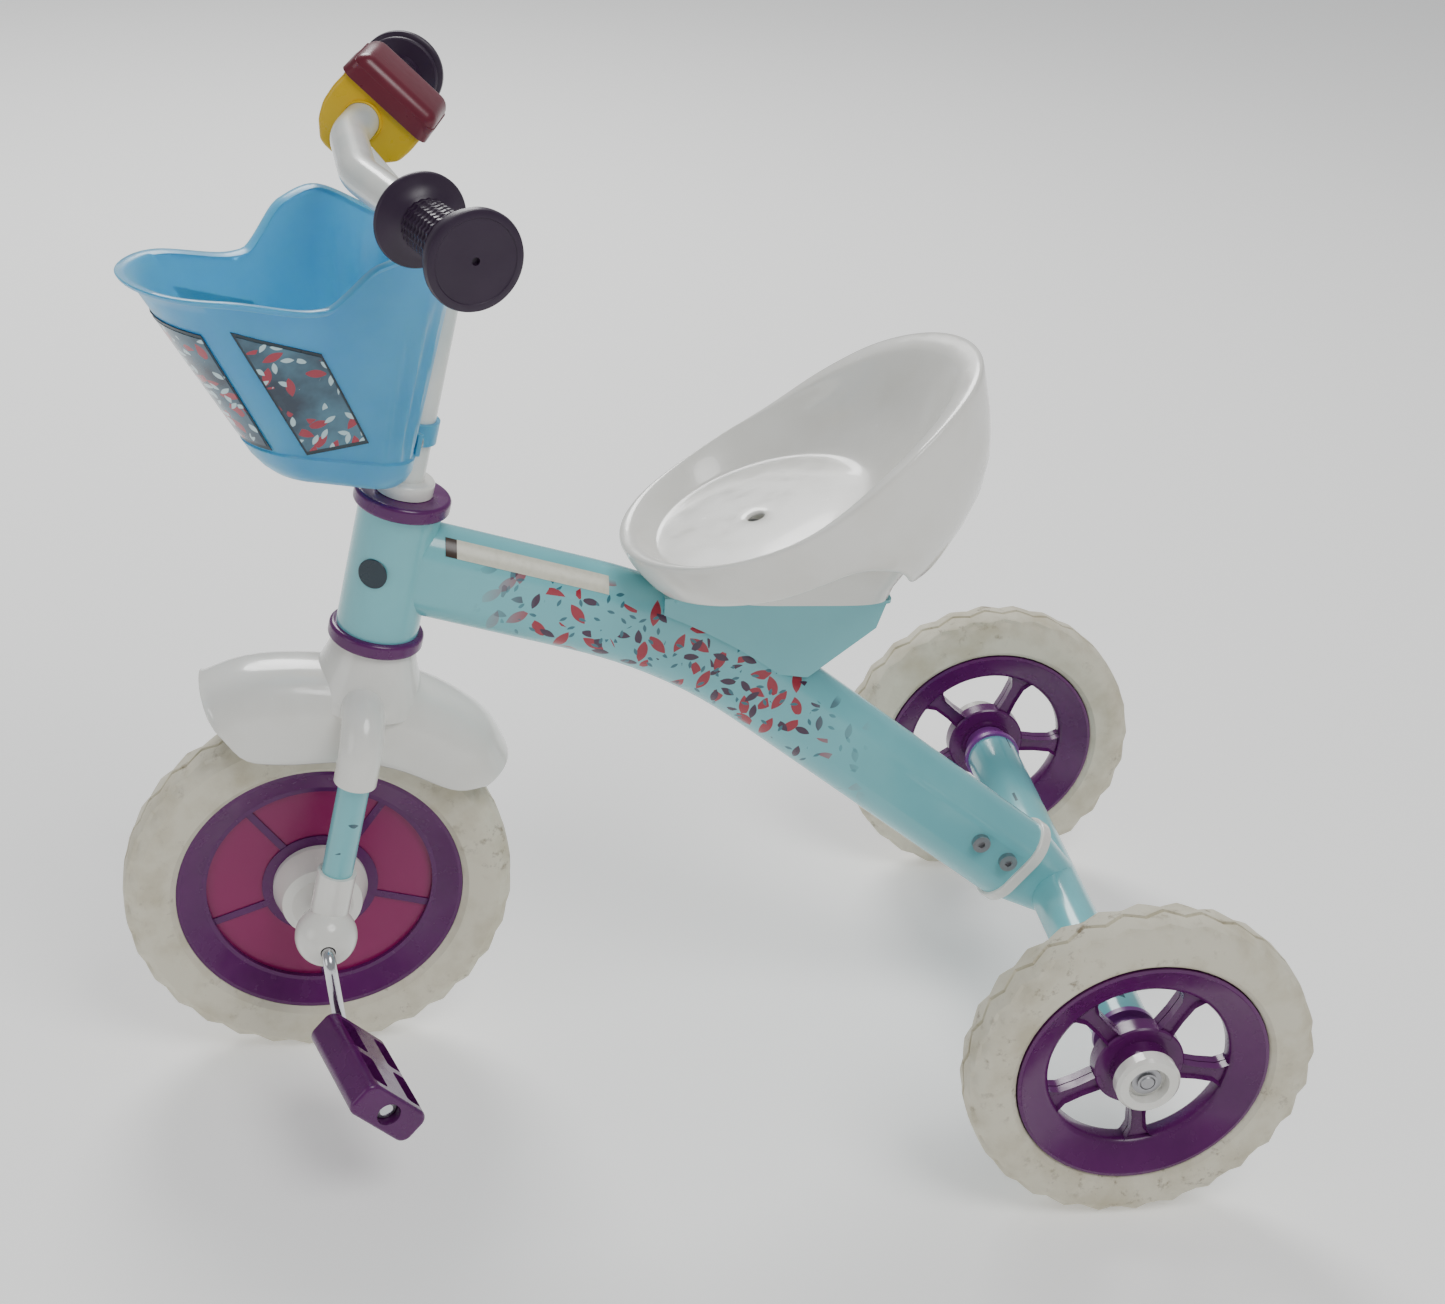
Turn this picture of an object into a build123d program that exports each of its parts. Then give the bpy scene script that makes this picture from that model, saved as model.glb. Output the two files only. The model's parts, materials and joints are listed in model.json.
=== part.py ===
from build123d import *
import os
from math import cos, radians, sin

# Children's tricycle: oval backbone frame, bucket seat, pedal-driven front wheel, two free rear wheels.
# Millimetres. +X is forward, +Y the rider's left, +Z up. The origin is on the ground, under the
# middle of the overall box. The steering stands a few degrees to the left of straight ahead.

# Stance
FRONT_R = 127.0
REAR_R = 111.5
WHEELBASE = 507.5
REAR_TRACK = 400.0
REAR_X = -(WHEELBASE + FRONT_R - REAR_R) / 2
FRONT_X = REAR_X + WHEELBASE

# Steering axis
HEAD_TILT = 10.0
STEER_TURN = 4.5
FORK_OFFSET = 4.7
BASKET_TWIST = 20.0
FIT_GAP = 0.05
FACE_GAP = 0.4

# Head and backbone
HEAD_R = 26.0
HEAD_LOW, HEAD_HIGH = 195.0, 279.0
CUP_R, CUP_T, CUP_SPIGOT = 30.0, 10.0, 14.0
STEEL_WALL = 2.0
TUBE_HIGH, TUBE_WIDE = 62.0, 40.0
BACKBONE_BEND_R = 350.0
BACKBONE_NECK = Vector(185.0, 0, 360.0)
BACKBONE_KNEE = Vector(12.5, 0, 315.0)
BACKBONE_END = Vector(REAR_X + 29.5, 0, 130.7)
COLLAR_LONG, COLLAR_PROUD = 8.0, 2.6
JOINT_BOLT_UP = 3.0

# Rear axle
AXLE_TUBE_R, AXLE_TUBE_HALF = 19.0, 172.0
ROD_R, ROD_HALF = 5.0, 223.0
HUB_INNER, HUB_OUTER, CAP_FACE = 191.0, 217.0, 226.0

# Seat
SEAT_TILT = 20.0
SEAT_HOLE = Vector(REAR_X + 233.0, 0, 394.0)
SEAT_WALL = 3.0
BRACKET_TOP = 345.0
BRACKET_HALF = 19.0

# Fork, crank and pedals
STEERER_R, STEM_R = 14.0, 11.0
LEG_R, LEG_Y, CROWN_HIGH = 10.0, 57.0, 152.0
CRANK_R, CRANK_ARM, CRANK_PHASE = 4.25, 51.4, 17.6
CRANK_Y, PIN_Y, PIN_SKEW = 90.0, 96.0, 14.0
PEDAL_LONG, PEDAL_WIDE, PEDAL_THICK = 82.0, 52.0, 24.0
PEDAL_TURN = -36.0
PEDAL_IN, PIN_END = 11.0, 88.0
FRONT_SPOKE, REAR_SPOKE = 5.0, 9.5

# Mudguard, centred on the front axle
GUARD_CROWN, GUARD_EDGE, GUARD_HALF, GUARD_WALL = 168.0, 113.0, 33.0, 2.5
GUARD_FRONT, GUARD_BACK = 65.0, 142.0

# Handlebar
BAR_X, BAR_S = 65.0, 490.0
BAR_STRAIGHT, BAR_SWEEP, BAR_BEND_R = 38.0, 17.0, 80.0
GRIP_START, GRIP_LONG = 84.0, 74.0
GRIP_R, GRIP_FLANGE_R = 14.5, 26.0
BELL_ALONG, BELL_WIDE, BELL_LEAN = 58.0, 44.0, 49.0

# Basket, heights measured along the steering axis
BASKET_LOW, BASKET_HIGH, BASKET_WALL = 303.0, 462.0, 2.6
BASKET_BACK, BASKET_ROLL, BASKET_PIVOT = 12.0, 5.0, 330.0
CLAMP_LOW, CLAMP_TALL, CLAMP_SCREW_Y = 324.0, 14.0, 20.0


def polar(distance, degrees_up):
    return (distance * cos(radians(degrees_up)), distance * sin(radians(degrees_up)))


def finish(builder, name):
    builder.part.label = name
    export_step(builder.part, f"parts/{name}.step")


def turned(plane, degrees):
    """The plane turned about its own local Z."""
    x_dir = plane.x_dir * cos(radians(degrees)) + plane.y_dir * sin(radians(degrees))
    return Plane(origin=plane.origin, x_dir=x_dir, z_dir=plane.z_dir)


# Reference planes. head and steer stand on the steering axis at axle height, local Z up the axis.
ahead = Vector(cos(radians(HEAD_TILT)), 0, sin(radians(HEAD_TILT)))
head_dir = Vector(-sin(radians(HEAD_TILT)), 0, cos(radians(HEAD_TILT)))
head_foot = Vector(FRONT_X, 0, FRONT_R) - ahead * FORK_OFFSET
head = Plane(origin=head_foot, x_dir=ahead, z_dir=head_dir)
steer = turned(head, STEER_TURN)
basket = turned(head, STEER_TURN + BASKET_TWIST)
tray_tilt = radians(BASKET_ROLL)
tray_up = basket.z_dir * cos(tray_tilt) - basket.y_dir * sin(tray_tilt)
tray_pivot = basket.from_local_coords((0, 0, BASKET_PIVOT))
tray = Plane(origin=tray_pivot - tray_up * BASKET_PIVOT, x_dir=basket.x_dir, z_dir=tray_up)
front_axle = steer.from_local_coords((FORK_OFFSET, 0, 0))
seat = Plane(
    origin=SEAT_HOLE,
    x_dir=(cos(radians(SEAT_TILT)), 0, -sin(radians(SEAT_TILT))),
    z_dir=(sin(radians(SEAT_TILT)), 0, cos(radians(SEAT_TILT))),
)


def across(origin, left, forward):
    """Plane whose local X runs to the left along an axle and whose local Y is up."""
    return Plane(origin=origin, x_dir=left, z_dir=forward)


def side_on(origin, left, forward):
    """Plane seen from the left: local X rearward, local Y up, extruding to the left."""
    return Plane(origin=origin, x_dir=forward * -1, z_dir=left)


# Frame -------------------------------------------------------------------------------------------

def head_cylinder(radius):
    with BuildPart() as cylinder:
        with BuildSketch(head.offset(HEAD_LOW - 40)):
            Circle(radius)
        extrude(amount=HEAD_HIGH - HEAD_LOW + 80)
    return cylinder.part


def backbone_path():
    with BuildLine(Plane.XZ) as path:
        FilletPolyline(
            (BACKBONE_NECK.X, BACKBONE_NECK.Z),
            (BACKBONE_KNEE.X, BACKBONE_KNEE.Z),
            (BACKBONE_END.X, BACKBONE_END.Z),
            radius=BACKBONE_BEND_R,
        )
    return path.line


def backbone_solid(inset):
    path = backbone_path()
    with BuildPart() as tube:
        with BuildSketch(Plane(origin=path @ 0, x_dir=(0, 1, 0), z_dir=path % 0)):
            SlotOverall(TUBE_HIGH - 2 * inset, TUBE_WIDE - 2 * inset, rotation=90)
        sweep(path=path)
    return tube.part


def backbone_end_plane():
    path = backbone_path()
    return Plane(origin=path @ 1, x_dir=(0, 1, 0), z_dir=path % 1)


def joint_bolt_places():
    end = backbone_end_plane()
    return [end.from_local_coords((0, JOINT_BOLT_UP * -1, -along)) for along in (18.0, 44.0)]


def bolt_holes(radius):
    with BuildPart() as holes:
        for place in joint_bolt_places():
            with BuildSketch(Plane(origin=(place.X, 40, place.Z), z_dir=(0, -1, 0))):
                Circle(radius)
            extrude(amount=80)
    return holes.part


def make_head():
    with BuildPart() as head_tube:
        with BuildSketch(head.offset(HEAD_LOW)):
            Circle(HEAD_R)
            Circle(HEAD_R - STEEL_WALL, mode=Mode.SUBTRACT)
        extrude(amount=HEAD_HIGH - HEAD_LOW)
    finish(head_tube, "head_tube")
    for name, face, into in (("headset_cup_lower", HEAD_LOW, 1), ("headset_cup_upper", HEAD_HIGH, -1)):
        with BuildPart() as cup:
            with BuildSketch(head.offset(face)):
                Circle(CUP_R)
            extrude(amount=-into * CUP_T)
            fillet(cup.edges().filter_by(GeomType.CIRCLE), 2.5)
            with BuildSketch(head.offset(face)):
                Circle(HEAD_R - STEEL_WALL)
            extrude(amount=into * CUP_SPIGOT)
            with BuildSketch(head.offset(face - CUP_T - CUP_SPIGOT)):
                Circle(STEERER_R + FIT_GAP)
            extrude(amount=2 * (CUP_T + CUP_SPIGOT), mode=Mode.SUBTRACT)
        finish(cup, name)


def make_backbone():
    outer = backbone_solid(0)
    inner = backbone_solid(STEEL_WALL)
    cylinder = head_cylinder(HEAD_R)
    holes = bolt_holes(3.2)
    with BuildPart() as backbone_tube:
        add(outer)
        add(inner, mode=Mode.SUBTRACT)
        add(cylinder, mode=Mode.SUBTRACT)
        add(holes, mode=Mode.SUBTRACT)
    finish(backbone_tube, "backbone_tube")

    end = backbone_end_plane()
    with BuildPart() as collar:
        with BuildSketch(end.offset(-COLLAR_LONG + 2)):
            SlotOverall(TUBE_HIGH + 2 * COLLAR_PROUD, TUBE_WIDE + 2 * COLLAR_PROUD, rotation=90)
        extrude(amount=COLLAR_LONG)
        fillet(collar.edges(), 1.2)
        with BuildSketch(end.offset(-COLLAR_LONG)):
            SlotOverall(TUBE_HIGH, TUBE_WIDE, rotation=90)
        extrude(amount=COLLAR_LONG, mode=Mode.SUBTRACT)
        with BuildSketch(end):
            SlotOverall(TUBE_HIGH - 2 * STEEL_WALL, TUBE_WIDE - 2 * STEEL_WALL, rotation=90)
        extrude(amount=COLLAR_LONG, mode=Mode.SUBTRACT)
    finish(collar, "backbone_end_collar")


def make_rear_joint():
    end = backbone_end_plane()
    reach = (BACKBONE_END - Vector(REAR_X, 0, REAR_R)).length
    high, wide = TUBE_HIGH - 2 * STEEL_WALL, TUBE_WIDE - 2 * STEEL_WALL
    holes = bolt_holes(3.2)
    with BuildPart() as socket_stub:
        for inset, mode in ((0.2, Mode.ADD), (2.2, Mode.SUBTRACT)):
            with BuildSketch(end.offset(-60)):
                SlotOverall(high - 2 * inset, wide - 2 * inset, rotation=90)
            extrude(amount=66, mode=mode)
            with BuildSketch(end.offset(6)):
                SlotOverall(high - 2 * inset, wide - 2 * inset, rotation=90)
            with BuildSketch(end.offset(reach)):
                SlotOverall(high - 14 - 2 * inset, wide - 2 * inset, rotation=90)
            loft(mode=mode)
        with BuildSketch(Plane(origin=(REAR_X, 60, REAR_R), z_dir=(0, -1, 0))):
            Circle(AXLE_TUBE_R)
        extrude(amount=120, mode=Mode.SUBTRACT)
        add(holes, mode=Mode.SUBTRACT)
    finish(socket_stub, "rear_socket_stub")

    with BuildPart() as bolts:
        for place in joint_bolt_places():
            with BuildSketch(Plane(origin=(place.X, -25.5, place.Z), z_dir=(0, 1, 0))):
                Circle(3.0)
            extrude(amount=46)
            with BuildSketch(Plane(origin=(place.X, TUBE_WIDE / 2, place.Z), z_dir=(0, 1, 0))):
                Circle(6.2)
            extrude(amount=4.2)
            with BuildSketch(Plane(origin=(place.X, TUBE_WIDE / 2 + 4.2, place.Z), z_dir=(0, 1, 0))):
                RegularPolygon(2.6, 6)
            extrude(amount=-2.4, mode=Mode.SUBTRACT)
    finish(bolts, "joint_bolts")

    with BuildPart() as nuts:
        for place in joint_bolt_places():
            with BuildSketch(Plane(origin=(place.X, -TUBE_WIDE / 2, place.Z), z_dir=(0, -1, 0))):
                RegularPolygon(6.0, 6)
                Circle(3.0, mode=Mode.SUBTRACT)
            extrude(amount=5.0)
    finish(nuts, "joint_nuts")


def make_rear_axle():
    left = Vector(0, 1, 0)
    axle = Vector(REAR_X, 0, REAR_R)
    with BuildPart() as axle_tube:
        with BuildSketch(Plane(origin=axle - left * AXLE_TUBE_HALF, z_dir=left)):
            Circle(AXLE_TUBE_R)
            Circle(AXLE_TUBE_R - STEEL_WALL, mode=Mode.SUBTRACT)
        extrude(amount=2 * AXLE_TUBE_HALF)
    finish(axle_tube, "rear_axle_tube")

    with BuildPart() as rod:
        with BuildSketch(Plane(origin=axle - left * ROD_HALF, z_dir=left)):
            Circle(ROD_R)
        extrude(amount=2 * ROD_HALF)
        chamfer(rod.edges(), 1.0)
    finish(rod, "rear_axle_rod")

    for side, name in ((1, "rear_axle_bush_left"), (-1, "rear_axle_bush_right")):
        with BuildPart() as bush:
            with BuildSketch(across(axle, left * side, Vector(side, 0, 0))):
                with BuildLine():
                    Polyline(
                        (AXLE_TUBE_HALF - 16, ROD_R),
                        (AXLE_TUBE_HALF - 16, AXLE_TUBE_R - STEEL_WALL),
                        (AXLE_TUBE_HALF, AXLE_TUBE_R - STEEL_WALL),
                        (AXLE_TUBE_HALF, AXLE_TUBE_R + 2),
                        (AXLE_TUBE_HALF + 4, AXLE_TUBE_R + 2),
                        (AXLE_TUBE_HALF + 5, AXLE_TUBE_R - 2),
                        (HUB_INNER - FACE_GAP, AXLE_TUBE_R - 2.5),
                        (HUB_INNER - FACE_GAP, ROD_R),
                        close=True,
                    )
                make_face()
            revolve(axis=Axis(axle, left))
        finish(bush, name)

    with BuildPart() as push_nuts:
        for side in (1, -1):
            base = axle + left * (side * (CAP_FACE - 7 + FACE_GAP))
            with BuildSketch(Plane(origin=base, z_dir=left * side)):
                Circle(9.5)
                Circle(ROD_R, mode=Mode.SUBTRACT)
            extrude(amount=1.6)
            with BuildSketch(Plane(origin=base + left * (side * 1.6), z_dir=left * side)):
                Circle(6.4)
                Circle(ROD_R, mode=Mode.SUBTRACT)
            extrude(amount=1.6)
    finish(push_nuts, "axle_push_nuts")


# Seat --------------------------------------------------------------------------------------------

def seat_loft(sections):
    """Bowl form through elliptical sections: height, foremost and rearmost reach, half width."""
    with BuildPart() as body:
        for height, front, back, half in sections:
            middle = (front + back) / 2
            with BuildSketch(Plane(origin=seat.from_local_coords((middle, 0, height)), x_dir=seat.x_dir,
                                   z_dir=seat.z_dir)):
                Ellipse(front - middle, half)
        loft()
    return body.part


def seat_side_cut(lift):
    """Everything above the rim line as seen from the side, the line moved down by lift."""
    with BuildPart() as cut:
        with BuildSketch(Plane(origin=SEAT_HOLE, x_dir=seat.x_dir, z_dir=(0, -1, 0))):
            with BuildLine():
                rim = Spline(
                    (110, 15 - lift), (50, 15.5 - lift), (-20, 23.5 - lift), (-75, 42 - lift),
                    (-115, 57 - lift), (-180, 60 - lift),
                )
                Polyline(rim @ 1, (-180, 120), (110, 120), rim @ 0)
            make_face()
        extrude(amount=130, both=True)
    return cut.part


def seat_skirt_cut():
    """Everything below the skirt's lower edge as seen from the side."""
    with BuildPart() as cut:
        with BuildSketch(Plane(origin=SEAT_HOLE, x_dir=seat.x_dir, z_dir=(0, -1, 0))):
            with BuildLine():
                Polyline(
                    (110, -17), (12, -16), (-45, -9), (-72, -24), (-100, -46), (-190, -46),
                    (-190, -100), (110, -100), close=True,
                )
            make_face()
        extrude(amount=130, both=True)
    return cut.part


def pedestal_solid(inset):
    with BuildPart() as pedestal:
        with BuildSketch(Plane.XY.offset(BRACKET_TOP)):
            with Locations((SEAT_HOLE.X - 34, 0)):
                RectangleRounded(108 - 2 * inset, 60 - 2 * inset, 16 - inset)
        with BuildSketch(Plane.XY.offset(BRACKET_TOP + 52)):
            with Locations((SEAT_HOLE.X - 44, 0)):
                RectangleRounded(136 - 2 * inset, 104 - 2 * inset, 26 - inset)
        loft()
    return pedestal.part


def make_seat():
    outer = seat_loft(((-50, 62, -106, 82), (0, 85, -152, 98), (62, 94, -161, 105)))
    hollow = seat_loft(((-50, 59, -103, 79), (0, 82, -149, 95), (62, 91, -158, 102)))
    bowl = seat_loft(((-3.2, 75, -88, 81), (20, 85.5, -116, 97.5), (62, 91, -153, 104)))
    cavity = seat_loft(((0, 72, -85, 78), (20, 82, -112, 94), (62, 88, -149, 101)))
    rim_cut = seat_side_cut(0)
    lip_cut = seat_side_cut(4)
    skirt_cut = seat_skirt_cut()
    pedestal = pedestal_solid(0)
    pedestal_hollow = pedestal_solid(SEAT_WALL)
    backbone_way = backbone_solid(-FACE_GAP)
    hollow_under_lip = hollow - lip_cut
    with BuildPart() as seat_shell:
        add(outer)
        add(skirt_cut, mode=Mode.SUBTRACT)
        add(hollow_under_lip, mode=Mode.SUBTRACT)
        add(bowl)
        add(outer, mode=Mode.INTERSECT)
        add(pedestal)
        add(pedestal_hollow - bowl, mode=Mode.SUBTRACT)
        with BuildSketch(Plane(origin=(SEAT_HOLE.X, 0, BRACKET_TOP), z_dir=(0, 0, 1))):
            Circle(11)
        extrude(amount=55)
        add(cavity, mode=Mode.SUBTRACT)
        add(rim_cut, mode=Mode.SUBTRACT)
        add(backbone_way, mode=Mode.SUBTRACT)
        with BuildSketch(Plane(origin=(SEAT_HOLE.X, 0, BRACKET_TOP), z_dir=(0, 0, 1))):
            Circle(4.2)
        extrude(amount=80, mode=Mode.SUBTRACT)
        with BuildSketch(Plane(origin=(SEAT_HOLE.X, 0, SEAT_HOLE.Z - 10), z_dir=(0, 0, 1))):
            Circle(8.2)
        extrude(amount=30, mode=Mode.SUBTRACT)
    finish(seat_shell, "seat_shell")


def make_seat_bracket():
    backbone = backbone_solid(0)
    with BuildPart() as bracket:
        for inset, mode in ((0.0, Mode.ADD), (1.8, Mode.SUBTRACT)):
            with BuildSketch(Plane.XZ):
                with BuildLine():
                    Polyline(
                        (REAR_X + 146 + inset, BRACKET_TOP - inset),
                        (REAR_X + 152 + inset, 324),
                        (REAR_X + 194 + inset, 288 - inset),
                        (REAR_X + 290 - inset, 300 - inset),
                        (REAR_X + 290 - inset, BRACKET_TOP - inset),
                        close=True,
                    )
                make_face()
            extrude(amount=BRACKET_HALF - inset, both=True, mode=mode)
        with BuildSketch(Plane.XY.offset(BRACKET_TOP)):
            with Locations((REAR_X + 214, 0)):
                RectangleRounded(140, 2 * BRACKET_HALF + 5, 4)
        extrude(amount=-2.4)
        with BuildSketch(Plane.XY.offset(BRACKET_TOP)):
            with Locations((SEAT_HOLE.X, 0)):
                Circle(4.2)
        extrude(amount=-10, mode=Mode.SUBTRACT)
        add(backbone, mode=Mode.SUBTRACT)
    finish(bracket, "seat_bracket")

    head_z = SEAT_HOLE.Z - 10
    with BuildPart() as bolt:
        with BuildSketch(Plane(origin=(SEAT_HOLE.X, 0, head_z), z_dir=(0, 0, 1))):
            Circle(7.6)
        extrude(amount=4.5)
        with BuildSketch(Plane(origin=(SEAT_HOLE.X, 0, head_z + 4.5), z_dir=(0, 0, 1))):
            Rectangle(9, 1.6)
            Rectangle(1.6, 9)
        extrude(amount=-2.2, mode=Mode.SUBTRACT)
        with BuildSketch(Plane(origin=(SEAT_HOLE.X, 0, head_z), z_dir=(0, 0, -1))):
            Circle(4.0)
        extrude(amount=head_z - BRACKET_TOP + 14)
    finish(bolt, "seat_bolt")

    with BuildPart() as nut:
        with BuildSketch(Plane.XY.offset(BRACKET_TOP - 2.4)):
            with Locations((SEAT_HOLE.X, 0)):
                Circle(9)
                Circle(4.0, mode=Mode.SUBTRACT)
        extrude(amount=-1.6)
        with BuildSketch(Plane.XY.offset(BRACKET_TOP - 4.0)):
            with Locations((SEAT_HOLE.X, 0)):
                RegularPolygon(7.2, 6)
                Circle(4.0, mode=Mode.SUBTRACT)
        extrude(amount=-6.5)
    finish(nut, "seat_nut")


# Wheels ------------------------------------------------------------------------------------------

def make_tyre(name, origin, left, forward, outer_r, seat_r, half):
    with BuildPart() as tyre:
        with BuildSketch(across(origin, left, forward)):
            with BuildLine():
                base = Line((-half + 4, seat_r), (half - 4, seat_r))
                wall = ThreePointArc(base @ 1, (half, (outer_r + seat_r) / 2), (half - 6, outer_r - 5))
                crown = ThreePointArc(wall @ 1, (0, outer_r), (-half + 6, outer_r - 5))
                ThreePointArc(crown @ 1, (-half, (outer_r + seat_r) / 2), base @ 0)
            make_face()
        revolve(axis=Axis(origin, left))
    finish(tyre, name)


def rim_body(origin, left, forward, seat_r, window_r, hub_r, spoke, phase, barrel):
    """Moulded wheel centre: tapered outer ring, five spokes, hub disc and barrel."""
    inner, outer, barrel_r, bore = barrel
    with BuildPart() as rim:
        with BuildSketch(across(origin, left, forward)):
            with BuildLine():
                Polyline(
                    (-14, seat_r), (14, seat_r), (14, seat_r - 2.5), (7, window_r + 3), (7, window_r),
                    (-7, window_r), (-7, window_r + 3), (-14, seat_r - 2.5), close=True,
                )
            make_face()
            with BuildLine():
                Polyline((-5, 1), (-5, hub_r), (5, hub_r), (5, 1), close=True)
            make_face()
            with BuildLine():
                Polyline((inner, 1), (inner, barrel_r), (outer, barrel_r), (outer, 1), close=True)
            make_face()
        revolve(axis=Axis(origin, left))
        with BuildSketch(side_on(origin - left * 4.5, left, forward)):
            with PolarLocations((hub_r + window_r) / 2, 5, start_angle=phase):
                Rectangle(window_r - hub_r + 6, spoke)
        extrude(amount=9)
        with BuildSketch(side_on(origin + left * (inner - 1), left, forward)):
            Circle(bore)
        extrude(amount=outer - inner + 2, mode=Mode.SUBTRACT)
    return rim


def make_rear_wheel(side, word, phase):
    left = Vector(0, 1, 0)
    out = left * side
    forward = Vector(side, 0, 0)
    centre = Vector(REAR_X, side * REAR_TRACK / 2, REAR_R)
    half_track = REAR_TRACK / 2
    make_tyre(f"rear_tyre_{word}", centre, out, forward, REAR_R, 81.0, 18.5)
    barrel = (HUB_INNER - half_track, HUB_OUTER - half_track, 19.0, 8.0)
    rim = rim_body(centre, out, forward, 81.0, 60.0, 29.0, REAR_SPOKE, phase, barrel)
    finish(rim, f"rear_rim_{word}")
    with BuildPart() as hub_bush:
        with BuildSketch(across(Vector(REAR_X, 0, REAR_R), out, forward)):
            with BuildLine():
                Polyline(
                    (HUB_INNER, ROD_R + FIT_GAP), (HUB_INNER, 8.0), (HUB_OUTER, 8.0), (HUB_OUTER, 20.5),
                    (CAP_FACE - 2, 20.5), (CAP_FACE, 18.5), (CAP_FACE, 13.0), (CAP_FACE - 7, 12.5),
                    (CAP_FACE - 7, ROD_R + FIT_GAP), close=True,
                )
            make_face()
        revolve(axis=Axis(centre, out))
    finish(hub_bush, f"rear_hub_bush_{word}")


def make_front_wheel():
    left, forward = steer.y_dir, steer.x_dir
    make_tyre("front_tyre", front_axle, left, forward, FRONT_R, 93.5, 19.5)
    barrel = (-17, 17, 20.0, CRANK_R)
    rim = rim_body(front_axle, left, forward, 93.5, 74.0, 38.0, FRONT_SPOKE, 66, barrel)
    finish(rim, "front_rim")

    with BuildPart() as panels:
        for face in (-3.6, 1.4):
            with BuildSketch(side_on(front_axle + left * face, left, forward)):
                Circle(74.0)
                Circle(38.0, mode=Mode.SUBTRACT)
            extrude(amount=2.2)
        add(rim.part, mode=Mode.SUBTRACT)
    finish(panels, "front_wheel_panels")

    for side, word in ((1, "left"), (-1, "right")):
        out = left * side
        with BuildPart() as plate:
            with BuildSketch(across(front_axle, out, forward * side)):
                with BuildLine():
                    Polyline(
                        (17, CRANK_R), (17, 20), (5, 20), (5, 31), (9, 31), (27, 26), (30, 20),
                        (30, CRANK_R), close=True,
                    )
                make_face()
            revolve(axis=Axis(front_axle, out))
        finish(plate, f"hub_plate_{word}")

    with BuildPart() as screws:
        for side in (1, -1):
            spot = side_on(front_axle + left * (side * 30), left * side, forward * side)
            for angle in (105, 285):
                with BuildSketch(spot):
                    with Locations(polar(14, angle)):
                        Circle(3.4)
                extrude(amount=2.0)
    finish(screws, "hub_plate_screws")


def crank_points(side):
    """Centres of the bends of one crank, from the hub outwards, in the front wheel's own frame."""
    arm = Vector(-sin(radians(CRANK_PHASE)), 0, -cos(radians(CRANK_PHASE))) * side
    tangent = Vector(-cos(radians(CRANK_PHASE)), 0, sin(radians(CRANK_PHASE))) * side
    elbow = Vector(0, side * CRANK_Y, 0)
    knee = arm * CRANK_ARM + Vector(0, side * PIN_Y, 0)
    pin = Vector(0, side * cos(radians(PIN_SKEW)), 0) + tangent * sin(radians(PIN_SKEW))
    return elbow, knee, pin


def wheel_point(local):
    return front_axle + steer.x_dir * local.X + steer.y_dir * local.Y + steer.z_dir * local.Z


def wheel_direction(local):
    return steer.x_dir * local.X + steer.y_dir * local.Y + steer.z_dir * local.Z


def make_crank():
    points = []
    for side in (-1, 1):
        elbow, knee, pin = crank_points(side)
        run = [elbow, knee, knee + pin * PIN_END]
        points += run if side == 1 else run[::-1]
    with BuildPart() as crank:
        with BuildLine() as path:
            FilletPolyline(*[wheel_point(p) for p in points], radius=9)
        with BuildSketch(Plane(origin=path.line @ 0, z_dir=path.line % 0)):
            Circle(CRANK_R)
        sweep(path=path.line)
    finish(crank, "crank_axle")

    with BuildPart() as washers:
        for side in (1, -1):
            elbow, knee, pin = crank_points(side)
            base = wheel_point(knee + pin * (PIN_END - 4))
            with BuildSketch(Plane(origin=base, z_dir=wheel_direction(pin))):
                Circle(7.0)
                Circle(CRANK_R, mode=Mode.SUBTRACT)
            extrude(amount=2.2)
    finish(washers, "pedal_push_nuts")


def make_pedal(side, word):
    """Pedal block: solid treads in front and behind, four windows beside the bored middle barrel."""
    elbow, knee, pin = crank_points(side)
    axis = wheel_direction(pin)
    flat = axis.cross(steer.z_dir * side).normalized()
    base = Plane(origin=wheel_point(knee + pin * PEDAL_IN), x_dir=flat, z_dir=axis)
    plane = turned(base, PEDAL_TURN * side)
    wide_side = Plane(origin=plane.origin - plane.y_dir * PEDAL_THICK, x_dir=plane.x_dir, z_dir=plane.y_dir)
    window, rib = (PEDAL_LONG - 20) / 2, 6.0
    with BuildPart() as pedal:
        with BuildSketch(plane):
            RectangleRounded(PEDAL_WIDE, PEDAL_THICK, 7)
        extrude(amount=PEDAL_LONG)
        fillet(pedal.faces().sort_by(Axis(plane.origin, axis))[-1].edges(), 3)
        fillet(pedal.faces().sort_by(Axis(plane.origin, axis))[0].edges(), 3)
        with BuildSketch(wide_side):
            for x in (-15, 15):
                for along in (PEDAL_LONG / 2 - (window + rib) / 2, PEDAL_LONG / 2 + (window + rib) / 2):
                    with Locations((x, -along)):
                        RectangleRounded(12, window, 3)
        extrude(amount=2 * PEDAL_THICK, mode=Mode.SUBTRACT)
        with BuildSketch(plane):
            Circle(CRANK_R + FIT_GAP)
        extrude(amount=PEDAL_LONG, mode=Mode.SUBTRACT)
        with BuildSketch(plane.offset(PIN_END - PEDAL_IN - 4 - FACE_GAP)):
            Circle(7.6)
        extrude(amount=20, mode=Mode.SUBTRACT)
    finish(pedal, f"pedal_{word}")


# Fork and mudguard -------------------------------------------------------------------------------

def fork_plane():
    return Plane(origin=front_axle, x_dir=steer.y_dir, z_dir=steer.x_dir)


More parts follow.
